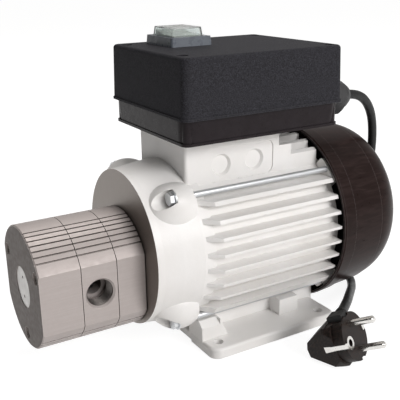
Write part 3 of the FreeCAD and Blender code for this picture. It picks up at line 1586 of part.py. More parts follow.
def grommet_point(distance):
    """Point on the line of the sleeve, so far beyond its tip, where the plug lies."""
    tip, along = sleeve_axis()
    return plug_place(tip + along * distance)


def pin_shape(z, radius, x0, x1):
    tip = 1.2
    return turned([(x0, 0), (x0, radius), (x1 - tip, radius), (x1, radius - tip), (x1, 0)], 0, z)


def clip_shape():
    """Earth contact on one side: a strip in the grip's side that turns in over the face."""
    r = clip_radius
    t = clip_thickness
    half = clip_width / 2.0
    strip = block(-clip_length, t, r - t, r, -half, half)
    tail = block(0, t, r - clip_face_reach, r, -half, half)
    return strip.fuse(tail).removeSplitter()


def earth_socket():
    """Ring at the end of the near strip, round the hole that takes a socket's earth pin."""
    t = clip_thickness
    plate = Part.makeCylinder(earth_ring_radius, t, V(0, earth_ring_centre, 0), V(1, 0, 0))
    hole = Part.makeCylinder(earth_hole_radius, t + 2, V(-1, earth_ring_centre, 0), V(1, 0, 0))
    return clip_shape().fuse(plate).removeSplitter().cut(hole)


def both_sides(shape):
    return [shape, shape.rotated(V(0, 0, 0), V(1, 0, 0), 180)]


def plug_body():
    body = plug_shape()
    cuts = [pin_shape(side * pin_spacing / 2.0, pin_radius + 0.02, -pin_insert - 0.02, 5) for side in (-1, 1)]
    strip = block(-clip_length - 0.02, 1, clip_radius - clip_thickness - 0.02, plug_face_radius + 5,
                  -clip_width / 2.0 - 0.02, clip_width / 2.0 + 0.02)
    cuts += both_sides(strip)
    cuts.append(Part.makeCylinder(earth_hole_radius, earth_hole_depth + 1, V(-earth_hole_depth, -earth_ring_centre, 0),
                                  V(1, 0, 0)))
    half = plug_notch_width / 2.0
    notch = block(-plug_face_length, 1, -half, half, plug_face_radius - plug_notch_depth, plug_face_radius + 5)
    cuts += both_sides(notch)
    cuts.append(block(grommet_front - grommet_length, grommet_front, -grommet_half_width, grommet_half_width,
                      plug_top - grommet_depth, plug_face_radius + 5))
    tip, along = sleeve_axis()
    foot = tip - along * (sleeve_length + 0.1)
    cuts.append(Part.makeCylinder(sleeve_foot_radius + 0.1, sleeve_length + 12, foot, along))
    return plug_place(body.cut(Part.makeCompound(cuts)))


def plug_pins():
    return group(plug_place(pin_shape(side * pin_spacing / 2.0, pin_radius, -pin_insert, pin_length))
                 for side in (-1, 1))


def plug_earth_clips():
    return group(plug_place(shape) for shape in (clip_shape(), both_sides(earth_socket())[1]))


def plug_grommet():
    """Rubber cable entry of the plug: a cap on its top and a short tapered sleeve."""
    gap = 0.1
    cap = block(grommet_front - grommet_length + gap, grommet_front - gap, -grommet_half_width + gap,
                grommet_half_width - gap, plug_top - grommet_depth, plug_top + grommet_height)
    upper = edges_where(cap, lambda b: b.ZMin > plug_top + grommet_height - 0.01)
    cap = cap.makeFillet(1.0, upper)
    tip, along = sleeve_axis()
    sleeve = Part.makeCone(sleeve_foot_radius, sleeve_tip_radius, sleeve_length, tip - along * sleeve_length, along)
    return plug_place(cap.fuse(sleeve))


# Writing the parts

NODES = {
    "motor_frame": motor_frame,
    "front_shield": front_shield,
    "rear_shield": rear_shield,
    "tie_bolts": tie_bolts,
    "tie_bolt_nuts": tie_bolt_nuts,
    "motor_shaft": motor_shaft,
    "rotor_core": rotor_core,
    "stator_core": stator_core,
    "stator_windings": stator_windings,
    "front_bearing": lambda: bearing_outer(front_bearing_front),
    "rear_bearing": lambda: bearing_outer(rear_bearing_front),
    "bearing_inner_rings": bearing_inner_rings,
    "fan": fan,
    "fan_clip": fan_clip,
    "fan_cover": fan_cover,
    "pump_front_cover": pump_front_cover,
    "pump_gear_plate": pump_gear_plate,
    "pump_rear_cover": pump_rear_cover,
    "pump_gaskets": pump_gaskets,
    "pump_screws": pump_screws,
    "drive_gear": drive_gear,
    "drive_key": drive_key,
    "driven_gear": driven_gear,
    "idler_shaft": idler_shaft,
    "pump_bushes": pump_bushes,
    "shaft_seal": shaft_seal,
    "bypass_cap": bypass_cap,
    "bypass_poppet": bypass_poppet,
    "bypass_spring": bypass_spring,
    "terminal_base": terminal_base,
    "terminal_cover": terminal_cover,
    "terminal_gasket": terminal_gasket,
    "cover_screws": cover_screws,
    "base_screws": base_screws,
    "capacitor": capacitor,
    "terminal_block": terminal_block,
    "switch_body": switch_body,
    "switch_rocker": switch_rocker,
    "switch_boot": switch_boot,
    "gland_body": gland_body,
    "gland_locknut": gland_locknut,
    "gland_nut": gland_nut,
    "gland_seal": gland_seal,
    "cord_from_gland": lambda: cord_tube("cord_from_gland", cord_from_gland_points())[0],
    "cord_coil": cord_coil,
    "coil_tie": coil_tie,
    "cord_to_plug": lambda: cord_tube("cord_to_plug", cord_to_plug_points())[0],
    "plug_body": plug_body,
    "plug_pins": plug_pins,
    "plug_earth_clips": plug_earth_clips,
    "plug_grommet": plug_grommet,
}

os.makedirs("parts", exist_ok=True)
for node, make in NODES.items():
    shape = make()
    shape.exportStep("parts/%s.step" % node)
    print("%-20s solids %d valid %s volume %.1f" % (node, len(shape.Solids), shape.isValid(), shape.Volume))
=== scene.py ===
"""Looks of an oil transfer pump: gear pump, finned motor, terminal box and mains lead."""
import math

import bmesh
import bpy
from mathutils import Matrix, Vector


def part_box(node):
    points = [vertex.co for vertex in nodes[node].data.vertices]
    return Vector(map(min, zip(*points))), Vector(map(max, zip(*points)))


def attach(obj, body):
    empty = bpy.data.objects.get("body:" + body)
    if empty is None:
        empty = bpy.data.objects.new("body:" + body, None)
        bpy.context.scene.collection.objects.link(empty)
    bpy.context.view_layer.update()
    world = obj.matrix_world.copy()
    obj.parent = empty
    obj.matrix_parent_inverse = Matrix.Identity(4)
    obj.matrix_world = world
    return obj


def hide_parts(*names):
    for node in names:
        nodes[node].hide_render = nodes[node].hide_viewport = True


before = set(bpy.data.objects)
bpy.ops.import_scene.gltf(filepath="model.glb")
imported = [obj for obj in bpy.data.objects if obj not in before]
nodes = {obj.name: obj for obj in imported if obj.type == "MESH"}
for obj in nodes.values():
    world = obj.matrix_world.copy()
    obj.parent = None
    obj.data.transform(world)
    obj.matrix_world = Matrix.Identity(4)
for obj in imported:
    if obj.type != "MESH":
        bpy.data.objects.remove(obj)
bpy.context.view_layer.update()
scene = bpy.context.scene
MM = 0.001


# Camera

camera_place = Vector((-275.8, -427.1, 258.7)) * MM
camera_azimuth = math.radians(30.415)
camera_elevation = math.radians(18.431)
camera_roll = math.radians(-0.883)


def make_camera():
    level = math.cos(camera_elevation)
    look = Vector((math.sin(camera_azimuth) * level, math.cos(camera_azimuth) * level,
                   -math.sin(camera_elevation)))
    side = look.cross(Vector((0, 0, 1))).normalized()
    up = side.cross(look)
    across = side * math.cos(camera_roll) + up * math.sin(camera_roll)
    rise = up * math.cos(camera_roll) - side * math.sin(camera_roll)
    data = bpy.data.cameras.new("camera")
    data.lens = 62.74
    data.sensor_width = 36.0
    data.shift_x = -0.002
    data.shift_y = 0.001
    data.clip_start = 0.01
    data.clip_end = 60.0
    turn = Matrix((across, rise, -look)).transposed()
    camera = bpy.data.objects.new("camera", data)
    scene.collection.objects.link(camera)
    camera.matrix_world = Matrix.Translation(camera_place) @ turn.to_4x4()
    scene.camera = camera


make_camera()


# Node helpers for the materials


class Look:
    """A material under construction: its shader and short ways to feed it."""

    def __init__(self, name, colour, rough, **sockets):
        self.material = bpy.data.materials.new(name)
        self.material.use_nodes = True
        self.tree = self.material.node_tree
        self.shader = self.tree.nodes["Principled BSDF"]
        self.shader.inputs["Base Color"].default_value = (*colour, 1)
        self.shader.inputs["Roughness"].default_value = rough
        for socket, value in sockets.items():
            self.shader.inputs[socket.replace("_", " ")].default_value = value
        self.place = self.node("ShaderNodeTexCoord").outputs["Object"]
        self.normal = None

    def node(self, kind, **values):
        made = self.tree.nodes.new(kind)
        for key, value in values.items():
            setattr(made, key, value)
        return made

    def link(self, source, target):
        self.tree.links.new(source, target)

    def put(self, target, value):
        if isinstance(value, bpy.types.NodeSocket):
            self.link(value, target)
        else:
            target.default_value = value

    def scaled(self, stretch):
        """The place on the piece, with its axes stretched."""
        made = self.node("ShaderNodeMapping")
        self.link(self.place, made.inputs["Vector"])
        made.inputs["Scale"].default_value = stretch
        return made.outputs["Vector"]

    def noise(self, scale, detail=2.0, rough=0.5, stretch=None, distort=0.0):
        made = self.node("ShaderNodeTexNoise")
        self.link(self.scaled(stretch) if stretch else self.place, made.inputs["Vector"])
        made.inputs["Scale"].default_value = scale
        made.inputs["Detail"].default_value = detail
        made.inputs["Roughness"].default_value = rough
        made.inputs["Distortion"].default_value = distort
        return made.outputs["Fac"]

    def waves(self, scale, direction="X", distort=0.0, bands=True):
        made = self.node("ShaderNodeTexWave", wave_type="BANDS" if bands else "RINGS")
        if bands:
            made.bands_direction = direction
        else:
            made.rings_direction = direction
        self.link(self.place, made.inputs["Vector"])
        made.inputs["Scale"].default_value = scale
        made.inputs["Distortion"].default_value = distort
        return made.outputs["Fac"]

    def span(self, value, low, high, to_low=0.0, to_high=1.0):
        """The value's range low to high carried over to another range."""
        made = self.node("ShaderNodeMapRange")
        self.put(made.inputs["Value"], value)
        ends = (("From Min", low), ("From Max", high), ("To Min", to_low), ("To Max", to_high))
        for key, number in ends:
            made.inputs[key].default_value = number
        return made.outputs["Result"]

    def math(self, kind, a, b=0.0):
        made = self.node("ShaderNodeMath", operation=kind)
        self.put(made.inputs[0], a)
        self.put(made.inputs[1], b)
        return made.outputs[0]

    def blend(self, share, a, b):
        """Colour a where share is 0 and b where it is 1."""
        made = self.node("ShaderNodeMix", data_type="RGBA")
        self.put(made.inputs[0], share)
        self.put(made.inputs[6], (*a, 1) if isinstance(a, tuple) else a)
        self.put(made.inputs[7], (*b, 1) if isinstance(b, tuple) else b)
        return made.outputs[2]

    def axis(self, name):
        made = self.node("ShaderNodeSeparateXYZ")
        self.link(self.place, made.inputs[0])
        return made.outputs[name]

    def facing(self, name):
        """How squarely the surface faces along an axis of the piece, from -1 to 1."""
        made = self.node("ShaderNodeSeparateXYZ")
        self.link(self.node("ShaderNodeTexCoord").outputs["Normal"], made.inputs[0])
        return made.outputs[name]

    def bump(self, height, strength, depth):
        made = self.node("ShaderNodeBump")
        self.link(height, made.inputs["Height"])
        made.inputs["Strength"].default_value = strength
        made.inputs["Distance"].default_value = depth
        if self.normal:
            self.link(self.normal, made.inputs["Normal"])
        self.normal = made.outputs["Normal"]

    def crevice(self, reach):
        """0 in corners and grooves, 1 on open surfaces."""
        made = self.node("ShaderNodeAmbientOcclusion", samples=6)
        made.inputs["Distance"].default_value = reach
        return made.outputs["AO"]

    def edge(self, width):
        """About 1 on sharp edges and 0 on the surfaces between them."""
        round_edge = self.node("ShaderNodeBevel", samples=4)
        round_edge.inputs["Radius"].default_value = width
        flat = self.node("ShaderNodeNewGeometry").outputs["Normal"]
        both = self.node("ShaderNodeVectorMath", operation="DOT_PRODUCT")
        self.link(round_edge.outputs["Normal"], both.inputs[0])
        self.link(flat, both.inputs[1])
        return self.span(both.outputs["Value"], 0.995, 0.9)

    def done(self, colour=None, rough=None, metal=None):
        if colour:
            self.link(colour, self.shader.inputs["Base Color"])
        if rough:
            self.link(rough, self.shader.inputs["Roughness"])
        if metal:
            self.link(metal, self.shader.inputs["Metallic"])
        if self.normal:
            self.link(self.normal, self.shader.inputs["Normal"])
        return self.material


# Materials


def enamel_colour(look):
    """White enamel with slight yellowing, painted shade darkening its corners and recesses, and
    thin spots on sharp edges.
    """
    tone = look.span(look.noise(26, 3), 0.35, 0.7)
    colour = look.blend(tone, (0.84, 0.825, 0.805), (0.885, 0.875, 0.865))
    # Painted shade: corners and recesses found by ambient occlusion are darkened as shade would
    # darken them.
    painted_crevice_shade = look.span(look.crevice(0.004), 0.1, 0.6, 0.35, 0.0)
    return look.blend(painted_crevice_shade, colour, (0.42, 0.375, 0.34))


def enamel_relief(look):
    look.bump(look.noise(750, 2), 0.10, 0.0004)
    look.bump(look.noise(110, 2), 0.10, 0.0012)


def white_enamel():
    look = Look("white_enamel", (0.87, 0.855, 0.84), 0.4)
    enamel_relief(look)
    colour = enamel_colour(look)
    worn = look.math("MULTIPLY", look.edge(0.0006), look.span(look.noise(160, 4), 0.56, 0.66))
    colour = look.blend(look.math("MULTIPLY", worn, 0.55), colour, (0.46, 0.44, 0.42))
    return look.done(colour, look.span(look.noise(60, 3), 0.3, 0.7, 0.32, 0.5))


def shield_finish(name, face_x, side):
    """Enamel all over, apart from the bare turned face at the end that bolts to the pump, whose
    dark tone is painted shade.
    """
    look = Look(name, (0.87, 0.855, 0.84), 0.4)
    enamel_relief(look)
    faces_out = look.span(look.math("MULTIPLY", look.facing("X"), side), 0.9, 0.99)
    at_face = look.span(look.math("MULTIPLY", look.axis("X"), side),
                        face_x * side - 0.0002, face_x * side - 0.0001)
    turned = look.math("MULTIPLY", faces_out, at_face)
    rings = look.waves(420, "X", 0.6, False)
    # The turned face keeps its turning rings, in a dark metal colour that is painted shade.
    shaded_turned_colour = look.blend(look.span(rings, 0.2, 0.8),
                              (0.20, 0.175, 0.158), (0.26, 0.235, 0.215))
    return look.done(look.blend(turned, enamel_colour(look), shaded_turned_colour),
                     look.span(turned, 0, 1, 0.4, 0.42), turned)


def cast_aluminium():
    look = Look("cast_aluminium", (0.5, 0.49, 0.475), 0.5, Metallic=1.0)
    look.bump(look.noise(900, 3), 0.3, 0.0004)
    return look.done(look.blend(look.noise(45, 4), (0.46, 0.45, 0.44), (0.6, 0.585, 0.565)),
                     look.span(look.noise(200, 2), 0.3, 0.7, 0.42, 0.6))


def pump_aluminium():
    """Drawn sides with lines along the axis; the cut end faces have milling marks and are darkened
    with painted shade.
    """
    look = Look("pump_aluminium", (0.5, 0.46, 0.44), 0.5, Metallic=0.35, Specular_IOR_Level=0.4)
    # Painted shade: faces turned along the axis get a far darker colour below, with milling marks
    # in it.
    end = look.span(look.math("ABSOLUTE", look.facing("X")), 0.75, 0.9)
    drawn = look.noise(1.0, 3, 0.6, (35, 1500, 1500))
    fine = look.noise(2600, 1)
    milled = look.noise(1.0, 2, 0.6, (60, 60, 1400))
    side_colour = look.blend(look.span(drawn, 0.3, 0.7),
                             (0.45, 0.40, 0.385), (0.48, 0.435, 0.42))
    side_colour = look.blend(look.span(fine, 0.35, 0.75, 0.0, 0.3), side_colour, (0.38, 0.34, 0.32))
    end_face_shade_colour = look.blend(look.span(milled, 0.3, 0.7),
                            (0.075, 0.057, 0.048), (0.105, 0.082, 0.071))
    colour = look.blend(end, side_colour, end_face_shade_colour)
    # Painted highlight: sharp edges are lightened as if catching the light.
    painted_edge_highlight = look.math("MULTIPLY", look.edge(0.0005), 0.5)
    colour = look.blend(painted_edge_highlight, colour, (0.74, 0.68, 0.64))
    # Painted shade: grooves and corners found by ambient occlusion are darkened.
    painted_crevice_shade = look.span(look.crevice(0.002), 0.25, 0.8, 0.92, 0.0)
    colour = look.blend(painted_crevice_shade, colour, (0.03, 0.022, 0.018))
    look.bump(fine, 0.08, 0.0002)
    return look.done(colour, look.span(look.noise(300, 2), 0.3, 0.7, 0.48, 0.6))


def plated(name, low, high, rough):
    look = Look(name, high, rough, Metallic=1.0)
    look.bump(look.noise(900, 1), 0.03, 0.0001)
    return look.done(look.blend(look.noise(130, 4), low, high),
                     look.span(look.noise(400, 3), 0.3, 0.75, rough - 0.08, rough + 0.12))


def bright_rod():
    """Drawn zinc-plated rod, smooth enough to keep one clean line of light."""
    look = Look("bright_rod", (0.62, 0.64, 0.66), 0.36, Metallic=0.75)
    drawn = look.noise(1.0, 2, 0.5, (25, 700, 700))
    look.bump(drawn, 0.02, 0.0001)
    return look.done(look.blend(drawn, (0.55, 0.57, 0.59), (0.68, 0.69, 0.70)),
                     look.span(look.noise(90, 2), 0.3, 0.7, 0.34, 0.42))


def ground_steel():
    look = Look("ground_steel", (0.55, 0.55, 0.56), 0.25, Metallic=1.0)
    marks = look.noise(1.0, 2, 0.5, (2600, 60, 60))
    look.bump(marks, 0.08, 0.0002)
    return look.done(look.blend(marks, (0.48, 0.48, 0.49), (0.6, 0.6, 0.61)),
                     look.span(marks, 0.3, 0.7, 0.2, 0.36))


def stacked_steel():
    look = Look("stacked_steel", (0.32, 0.31, 0.31), 0.45, Metallic=1.0)
    sheets = look.waves(310, "X")
    look.bump(sheets, 0.5, 0.0002)
    return look.done(look.blend(sheets, (0.2, 0.19, 0.19), (0.36, 0.35, 0.35)),
                     look.span(look.noise(90, 3), 0.3, 0.7, 0.4, 0.6))


def enamelled_wire():
    look = Look("enamelled_wire", (0.6, 0.3, 0.16), 0.3,
                Metallic=0.7, Coat_Weight=0.6, Coat_Roughness=0.2)
    strands = look.noise(1.0, 2, 0.5, (1100, 180, 180), 0.4)
    look.bump(strands, 0.7, 0.0006)
    return look.done(look.blend(look.span(strands, 0.3, 0.7),
                                (0.28, 0.1, 0.04), (0.66, 0.32, 0.16)))


def bearing_bronze():
    look = Look("bearing_bronze", (0.62, 0.45, 0.24), 0.35, Metallic=1.0)
    look.bump(look.noise(2200, 1), 0.1, 0.0002)
    return look.done(look.blend(look.noise(220, 3), (0.5, 0.35, 0.18), (0.66, 0.49, 0.27)),
                     look.span(look.noise(500, 2), 0.3, 0.7, 0.3, 0.45))


def dark_sheet():
    look = Look("dark_sheet", (0.03, 0.026, 0.022), 0.8)
    look.bump(look.noise(2400, 3), 0.4, 0.0002)
    return look.done(look.blend(look.noise(500, 3), (0.018, 0.015, 0.013), (0.05, 0.043, 0.037)))


def rubber(name, low, high, rough, grain):
    look = Look(name, low, rough, Specular_IOR_Level=0.35)
    look.bump(look.noise(grain, 3), 0.25, 0.0002)
    return look.done(look.blend(look.noise(grain / 8, 3), low, high),
                     look.span(look.noise(grain / 3, 2), 0.3, 0.7, rough - 0.08, rough + 0.1))


def fan_cover_plastic():
    """Satin black moulding, slightly brown, scuffed round its band."""
    look = Look("fan_cover_plastic", (0.012, 0.009, 0.009), 0.34, Specular_IOR_Level=0.09)
    scuffs = look.noise(1.0, 4, 0.65, (40, 260, 260), 0.8)
    look.bump(look.noise(1300, 2), 0.07, 0.0002)
    look.bump(scuffs, 0.05, 0.0006)
    colour = look.blend(look.span(scuffs, 0.45, 0.75),
                        (0.016, 0.0085, 0.0075), (0.032, 0.019, 0.0175))
    # Painted highlight: sharp edges and the step round the band are drawn as thin light lines.
    colour = look.blend(look.math("MULTIPLY", look.edge(0.0007), 0.6), colour, (0.16, 0.14, 0.14))
    return look.done(colour, look.span(scuffs, 0.3, 0.7, 0.26, 0.42))


def textured_box():
    """Spark-eroded texture: fine pits that catch the light."""
    look = Look("textured_box", (0.02, 0.02, 0.022), 0.5, Specular_IOR_Level=0.035)
    pits = look.noise(1500, 3, 0.7)
    broad = look.noise(420, 2, 0.6)
    look.bump(pits, 0.55, 0.0004)
    colour = look.blend(look.span(pits, 0.35, 0.7), (0.017, 0.0165, 0.019), (0.060, 0.060, 0.071))
    colour = look.blend(look.span(broad, 0.3, 0.75, 0.0, 0.4), colour, (0.018, 0.017, 0.018))
    # Painted highlight: sharp edges are drawn as thin light lines.
    colour = look.blend(look.math("MULTIPLY", look.edge(0.0006), 0.5), colour, (0.09, 0.088, 0.095))
    return look.done(colour, look.span(pits, 0.3, 0.7, 0.48, 0.64))


def smooth_plastic(name, low, high, rough, gloss=0.5):
    look = Look(name, low, rough, Specular_IOR_Level=gloss)
    look.bump(look.noise(1100, 2), 0.08, 0.0002)
    return look.done(look.blend(look.noise(140, 3), low, high),
                     look.span(look.noise(260, 3), 0.3, 0.7, rough - 0.06, rough + 0.08))


def clear_plastic():
    look = Look("clear_plastic", (0.86, 0.9, 0.89), 0.12, Transmission_Weight=0.92, IOR=1.46)
    look.bump(look.noise(160, 2), 0.15, 0.0006)
    return look.done(look.blend(look.noise(90, 2), (0.82, 0.87, 0.86), (0.93, 0.96, 0.95)),
                     look.span(look.noise(120, 3), 0.3, 0.7, 0.08, 0.22))


def sheath():
    look = Look("sheath", (0.012, 0.012, 0.0125), 0.42, Specular_IOR_Level=0.25)
    look.bump(look.noise(1600, 2), 0.12, 0.0002)
    return look.done(look.blend(look.noise(120, 3), (0.009, 0.009, 0.0095), (0.02, 0.021, 0.021)),
                     look.span(look.noise(240, 2), 0.3, 0.7, 0.36, 0.52))


def plug_rubber():
    """Moulded plug body, mottled brown where it was handled."""
    look = Look("plug_rubber", (0.02, 0.017, 0.016), 0.5, Specular_IOR_Level=0.2)
    mottle = look.noise(620, 4, 0.7)
    look.bump(mottle, 0.3, 0.0003)
    colour = look.blend(look.span(mottle, 0.4, 0.72), (0.006, 0.0045, 0.004), (0.035, 0.022, 0.018))
    return look.done(colour, look.span(mottle, 0.3, 0.7, 0.42, 0.6))


SHIELD_FACE_X = -0.0905

# Each row: the material, the record's material slot, and the nodes that wear it
LOOKS = (
    (white_enamel(), "white_paint", "motor_frame rear_shield"),
    (shield_finish("front_shield_enamel", SHIELD_FACE_X, -1.0), "white_paint", "front_shield"),
    (pump_aluminium(), "pump_aluminium", "pump_front_cover pump_gear_plate pump_rear_cover"),
    (cast_aluminium(), "bare_aluminium", "capacitor bypass_cap"),
    (plated("zinc_plate", (0.5, 0.49, 0.46), (0.74, 0.73, 0.70), 0.28), "zinc_steel",
     "tie_bolt_nuts pump_screws cover_screws base_screws fan_clip"),
    (bright_rod(), "zinc_steel", "tie_bolts"),
    (ground_steel(), "machined_steel",
     "motor_shaft front_bearing rear_bearing bearing_inner_rings drive_gear drive_key "
     "driven_gear idler_shaft bypass_poppet bypass_spring"),
    (stacked_steel(), "lamination_steel", "rotor_core stator_core"),
    (enamelled_wire(), "copper", "stator_windings"),
    (bearing_bronze(), "bronze", "pump_bushes"),
    (dark_sheet(), "gasket", "pump_gaskets terminal_gasket"),
    (rubber("black_rubber", (0.012, 0.012, 0.012), (0.03, 0.03, 0.03), 0.6, 900),
     "black_rubber", "shaft_seal gland_seal plug_grommet"),
    (fan_cover_plastic(), "cover_plastic", "fan_cover"),
    (smooth_plastic("black_moulding", (0.014, 0.014, 0.014), (0.03, 0.03, 0.03), 0.45),
     "black_plastic", "fan coil_tie"),
    (textured_box(), "box_plastic", "terminal_cover"),
    (smooth_plastic("tray_moulding", (0.014, 0.0105, 0.0115), (0.026, 0.021, 0.024), 0.3, 0.1),
     "box_plastic", "terminal_base"),
    (smooth_plastic("gland_nylon", (0.014, 0.014, 0.015), (0.028, 0.028, 0.03), 0.4),
     "gland_plastic", "gland_body gland_locknut gland_nut"),
    (smooth_plastic("switch_moulding", (0.11, 0.125, 0.15), (0.16, 0.18, 0.21), 0.3),
     "switch_plastic", "switch_body"),
    (smooth_plastic("pale_moulding", (0.5, 0.55, 0.52), (0.66, 0.7, 0.66), 0.35),
     "pale_plastic", "switch_rocker terminal_block"),
    (clear_plastic(), "clear_cover", "switch_boot"),
    (plug_rubber(), "plug_rubber", "plug_body"),
    (plated("nickel_plate", (0.62, 0.6, 0.57), (0.82, 0.81, 0.79), 0.2), "plug_metal",
     "plug_pins plug_earth_clips"),
)
sheath_look = sheath()


def dress_nodes():
    for look, slot, names in LOOKS:
        for name in names.split():
            piece = nodes[name]
            piece.data.materials.clear()
            piece.data.materials.append(look)


dress_nodes()


# Mains lead

cord_diameter = 7.0
lying = 3.6
from_gland = [
    (76.5, -28, 166), (80, -28, 166), (92, -28, 166), (105, -26.2, 163), (116.5, -22.8, 154.6),
    (125.4, -19, 142), (130.9, -15.3, 124.6), (133, -12.5, 107), (133, -5, 78), (133.5, 6, 49),
    (134.5, 23, 23), (135, 46, 7), (134.5, 68, lying), (133.67, 90.19, lying),
    (127.97, 111.44, lying)]
to_plug = [
    (48.5, 93.5, 10.6), (65.63, 75.44, 10.6), (79.06, 62.01, 10.6), (92.5, 47.5, 7),
    (104.5, 32.5, lying), (113.6, 17, lying), (116.8, -1, lying), (112.6, -18.5, lying),
    (100.5, -33.5, 4.5), (85.5, -48, 10.5), (66, -67, 19), (41.54, -90.57, 28.65),
    (25.96, -102.82, 31.35)]

# The coil: its centre, the angles in degrees, and each turn's radius and level
coil_x = 78.0
coil_y = 126.0
coil_start = 15.0
coil_step = 24.0
coil_end = 2010.0
coil_outer = 44.5
coil_inner = 37.5
coil_levels = (lying, lying + cord_diameter, lying + 2.0 * cord_diameter)
coil_places = ((coil_outer, 0), (coil_inner, 0), (coil_inner, 1), (coil_inner, 2),
               (coil_outer, 2), (coil_outer, 1))

# Angles at whose middle the lead moves to its next place, and how long a move takes
coil_moves = (360.0, 696.0, 1032.0, 1368.0, 1704.0)
coil_move_length = 96.0


def coil_points():
    """Control points of the wound length, which moves gently to its next place once a turn."""
    draw = 1.0 / math.cos(math.radians(coil_step / 2.0))
    points = []
    for k in range(int(coil_end // coil_step) + 1):
        turned = k * coil_step
        radius = coil_places[0][0]
        height = coil_levels[0]
        for here, there, move in zip(coil_places, coil_places[1:], coil_moves):
            share = (turned + coil_start - move) / coil_move_length + 0.5
            share = min(max(share, 0.0), 1.0)
            share = share * share * (3.0 - 2.0 * share)
            radius += (there[0] - here[0]) * share
            height += (coil_levels[there[1]] - coil_levels[here[1]]) * share
        angle = math.radians(coil_start + turned)
        points.append((coil_x + radius * draw * math.cos(angle),
                       coil_y + radius * draw * math.sin(angle), height))
    return points


def make_cord():
    points = from_gland + coil_points() + to_plug
    curve = bpy.data.curves.new("mains_lead", "CURVE")
    curve.dimensions = "3D"
    curve.bevel_depth = cord_diameter / 2.0 * MM
    curve.bevel_resolution = 6
    curve.use_fill_caps = True
    spline = curve.splines.new("NURBS")
    spline.points.add(len(points) - 1)
    for spot, (x, y, z) in zip(spline.points, points):
        spot.co = (x * MM, y * MM, z * MM, 1)
    spline.order_u = 3
    spline.use_endpoint_u = True
    spline.resolution_u = 6
    lead = bpy.data.objects.new("mains_lead", curve)
    scene.collection.objects.link(lead)
    lead.data.materials.append(sheath_look)
    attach(lead, "pump")
    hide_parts("cord_from_gland", "cord_coil", "cord_to_plug")


make_cord()


# Pipe threads in the two ports

port_radius = 9.3
thread_sunk = port_radius + 0.1
thread_root = port_radius - 0.05
thread_crest = 8.5
thread_pitch = 1.814
thread_start = 1.7
thread_turns = 6
thread_steps = 36

# Half the ridge's width at its ends and in full, and half its flat, as shares
thread_end_half = 0.12
thread_full_half = 0.48
thread_flat_half = 0.15

# Painted shade: the thread is coloured dark metal, standing for the shade deep inside the port.
thread_shade_look = plated("thread_painted_shade", (0.10, 0.09, 0.085), (0.19, 0.175, 0.165), 0.4)


def port_thread(name, face, inward, turn_way):
    """One ridge wound along the port's wall, fading out at both ends."""
    low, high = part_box("pump_gear_plate")
    port_x = (low.x + high.x) / 2.0 / MM
    port_z = (low.z + high.z) / 2.0 / MM
    mesh = bpy.data.meshes.new(name)
    form = bmesh.new()
    last = None
    count = thread_turns * thread_steps
    for k in range(count + 1):
        angle = turn_way * 2.0 * math.pi * k / thread_steps
        depth = thread_start + thread_pitch * k / thread_steps
        fade = min(1.0, 2.0 * k / thread_steps, 2.0 * (count - k) / thread_steps)
        half = thread_pitch * (thread_end_half + (thread_full_half - thread_end_half) * fade)
        flat = half * thread_flat_half
        crest = thread_root - (thread_root - thread_crest) * fade
        loop = []
        for radius, along in ((thread_sunk, -half), (crest, -flat),
                              (crest, flat), (thread_sunk, half)):
            loop.append(form.verts.new(((port_x + radius * math.cos(angle)) * MM,
                                        face + inward * (depth + along) * MM,
                                        (port_z + radius * math.sin(angle)) * MM)))
        if last:
            for a, b in ((0, 1), (1, 2), (2, 3), (3, 0)):
                form.faces.new((last[a], last[b], loop[b], loop[a]))
        else:
            form.faces.new(loop)
        last = loop
    form.faces.new(last)
    bmesh.ops.recalc_face_normals(form, faces=form.faces)
    form.to_mesh(mesh)
    form.free()
    ridge = bpy.data.objects.new(name, mesh)
    scene.collection.objects.link(ridge)
    mesh.materials.append(thread_shade_look)
    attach(ridge, "pump")


def make_threads():
    low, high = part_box("pump_gear_plate")
    port_thread("inlet_thread", low.y, 1.0, 1.0)
    port_thread("outlet_thread", high.y, -1.0, -1.0)


make_threads()


# Floor and light


floor_size = 14.0
floor_gap = 0.0004
paper_colour = (0.72, 0.71, 0.7, 1)
seen_colour = (0.25, 0.25, 0.25, 1)
seen_glow = 0.9
room_colour = (1.0, 0.985, 0.97, 1)
room_dim = 0.035
room_bright = 0.55


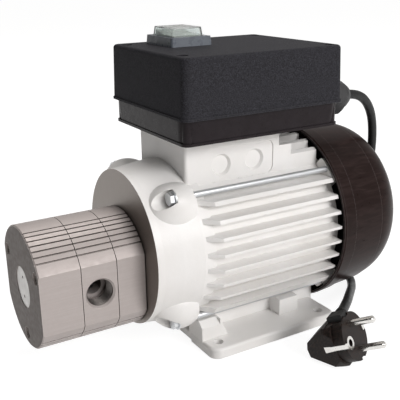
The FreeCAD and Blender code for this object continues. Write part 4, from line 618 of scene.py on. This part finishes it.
def make_floor():
    """Pale floor that keeps the object's shadow and renders near white."""
    mesh = bpy.data.meshes.new("floor")
    form = bmesh.new()
    bmesh.ops.create_grid(form, x_segments=2, y_segments=2, size=floor_size)
    form.to_mesh(mesh)
    form.free()
    floor = bpy.data.objects.new("floor", mesh)
    floor.location = (0, 0, -floor_gap)
    scene.collection.objects.link(floor)
    material = bpy.data.materials.new("floor_paper")
    material.use_nodes = True
    tree = material.node_tree
    tree.nodes.clear()
    out = tree.nodes.new("ShaderNodeOutputMaterial")
    plain = tree.nodes.new("ShaderNodeBsdfDiffuse")
    plain.inputs["Color"].default_value = paper_colour
    soft = tree.nodes.new("ShaderNodeBsdfDiffuse")
    soft.inputs["Color"].default_value = seen_colour
    glow = tree.nodes.new("ShaderNodeEmission")
    glow.inputs["Strength"].default_value = seen_glow
    added = tree.nodes.new("ShaderNodeAddShader")
    rays = tree.nodes.new("ShaderNodeLightPath")
    seen = tree.nodes.new("ShaderNodeMath")
    seen.operation = "MAXIMUM"
    shiny = tree.nodes.new("ShaderNodeMath")
    shiny.operation = "MAXIMUM"
    mixed = tree.nodes.new("ShaderNodeMixShader")
    tree.links.new(rays.outputs["Is Glossy Ray"], shiny.inputs[0])
    tree.links.new(rays.outputs["Is Transmission Ray"], shiny.inputs[1])
    tree.links.new(rays.outputs["Is Camera Ray"], seen.inputs[0])
    tree.links.new(shiny.outputs[0], seen.inputs[1])
    tree.links.new(soft.outputs[0], added.inputs[0])
    tree.links.new(glow.outputs[0], added.inputs[1])
    tree.links.new(seen.outputs[0], mixed.inputs[0])
    tree.links.new(plain.outputs[0], mixed.inputs[1])
    tree.links.new(added.outputs[0], mixed.inputs[2])
    tree.links.new(mixed.outputs[0], out.inputs["Surface"])
    mesh.materials.append(material)


def make_world():
    """Soft room light, dimmer on the pump's side."""
    world = bpy.data.worlds.new("room")
    world.use_nodes = True
    tree = world.node_tree
    shade = tree.nodes["Background"]
    place = tree.nodes.new("ShaderNodeTexCoord")
    parts = tree.nodes.new("ShaderNodeSeparateXYZ")
    ramp = tree.nodes.new("ShaderNodeMapRange")
    ramp.inputs["From Min"].default_value = -1.0
    ramp.inputs["From Max"].default_value = 0.6
    ramp.inputs["To Min"].default_value = room_dim
    ramp.inputs["To Max"].default_value = room_bright
    tree.links.new(place.outputs["Generated"], parts.inputs[0])
    tree.links.new(parts.outputs["X"], ramp.inputs["Value"])
    tree.links.new(ramp.outputs["Result"], shade.inputs["Strength"])
    shade.inputs["Color"].default_value = room_colour
    scene.world = world


def make_lamp(name, place, aim, size, power, colour):
    data = bpy.data.lights.new(name, "AREA")
    data.shape = "DISK"
    data.size = size
    data.energy = power
    data.color = colour
    lamp = bpy.data.objects.new(name, data)
    scene.collection.objects.link(lamp)
    lamp.location = place
    lamp.rotation_mode = "QUATERNION"
    lamp.rotation_quaternion = (Vector(aim) - Vector(place)).to_track_quat("-Z", "Y")


make_floor()
make_world()
make_lamp("key_lamp", place=(0.45, -1.7, 0.95), aim=(0, 0, 0.1), size=0.9, power=23,
          colour=(1.0, 0.985, 0.98))
make_lamp("top_lamp", place=(0.2, 0.5, 1.7), aim=(0, 0, 0.1), size=0.8, power=13,
          colour=(1.0, 0.97, 0.94))
scene.view_settings.view_transform = "Standard"
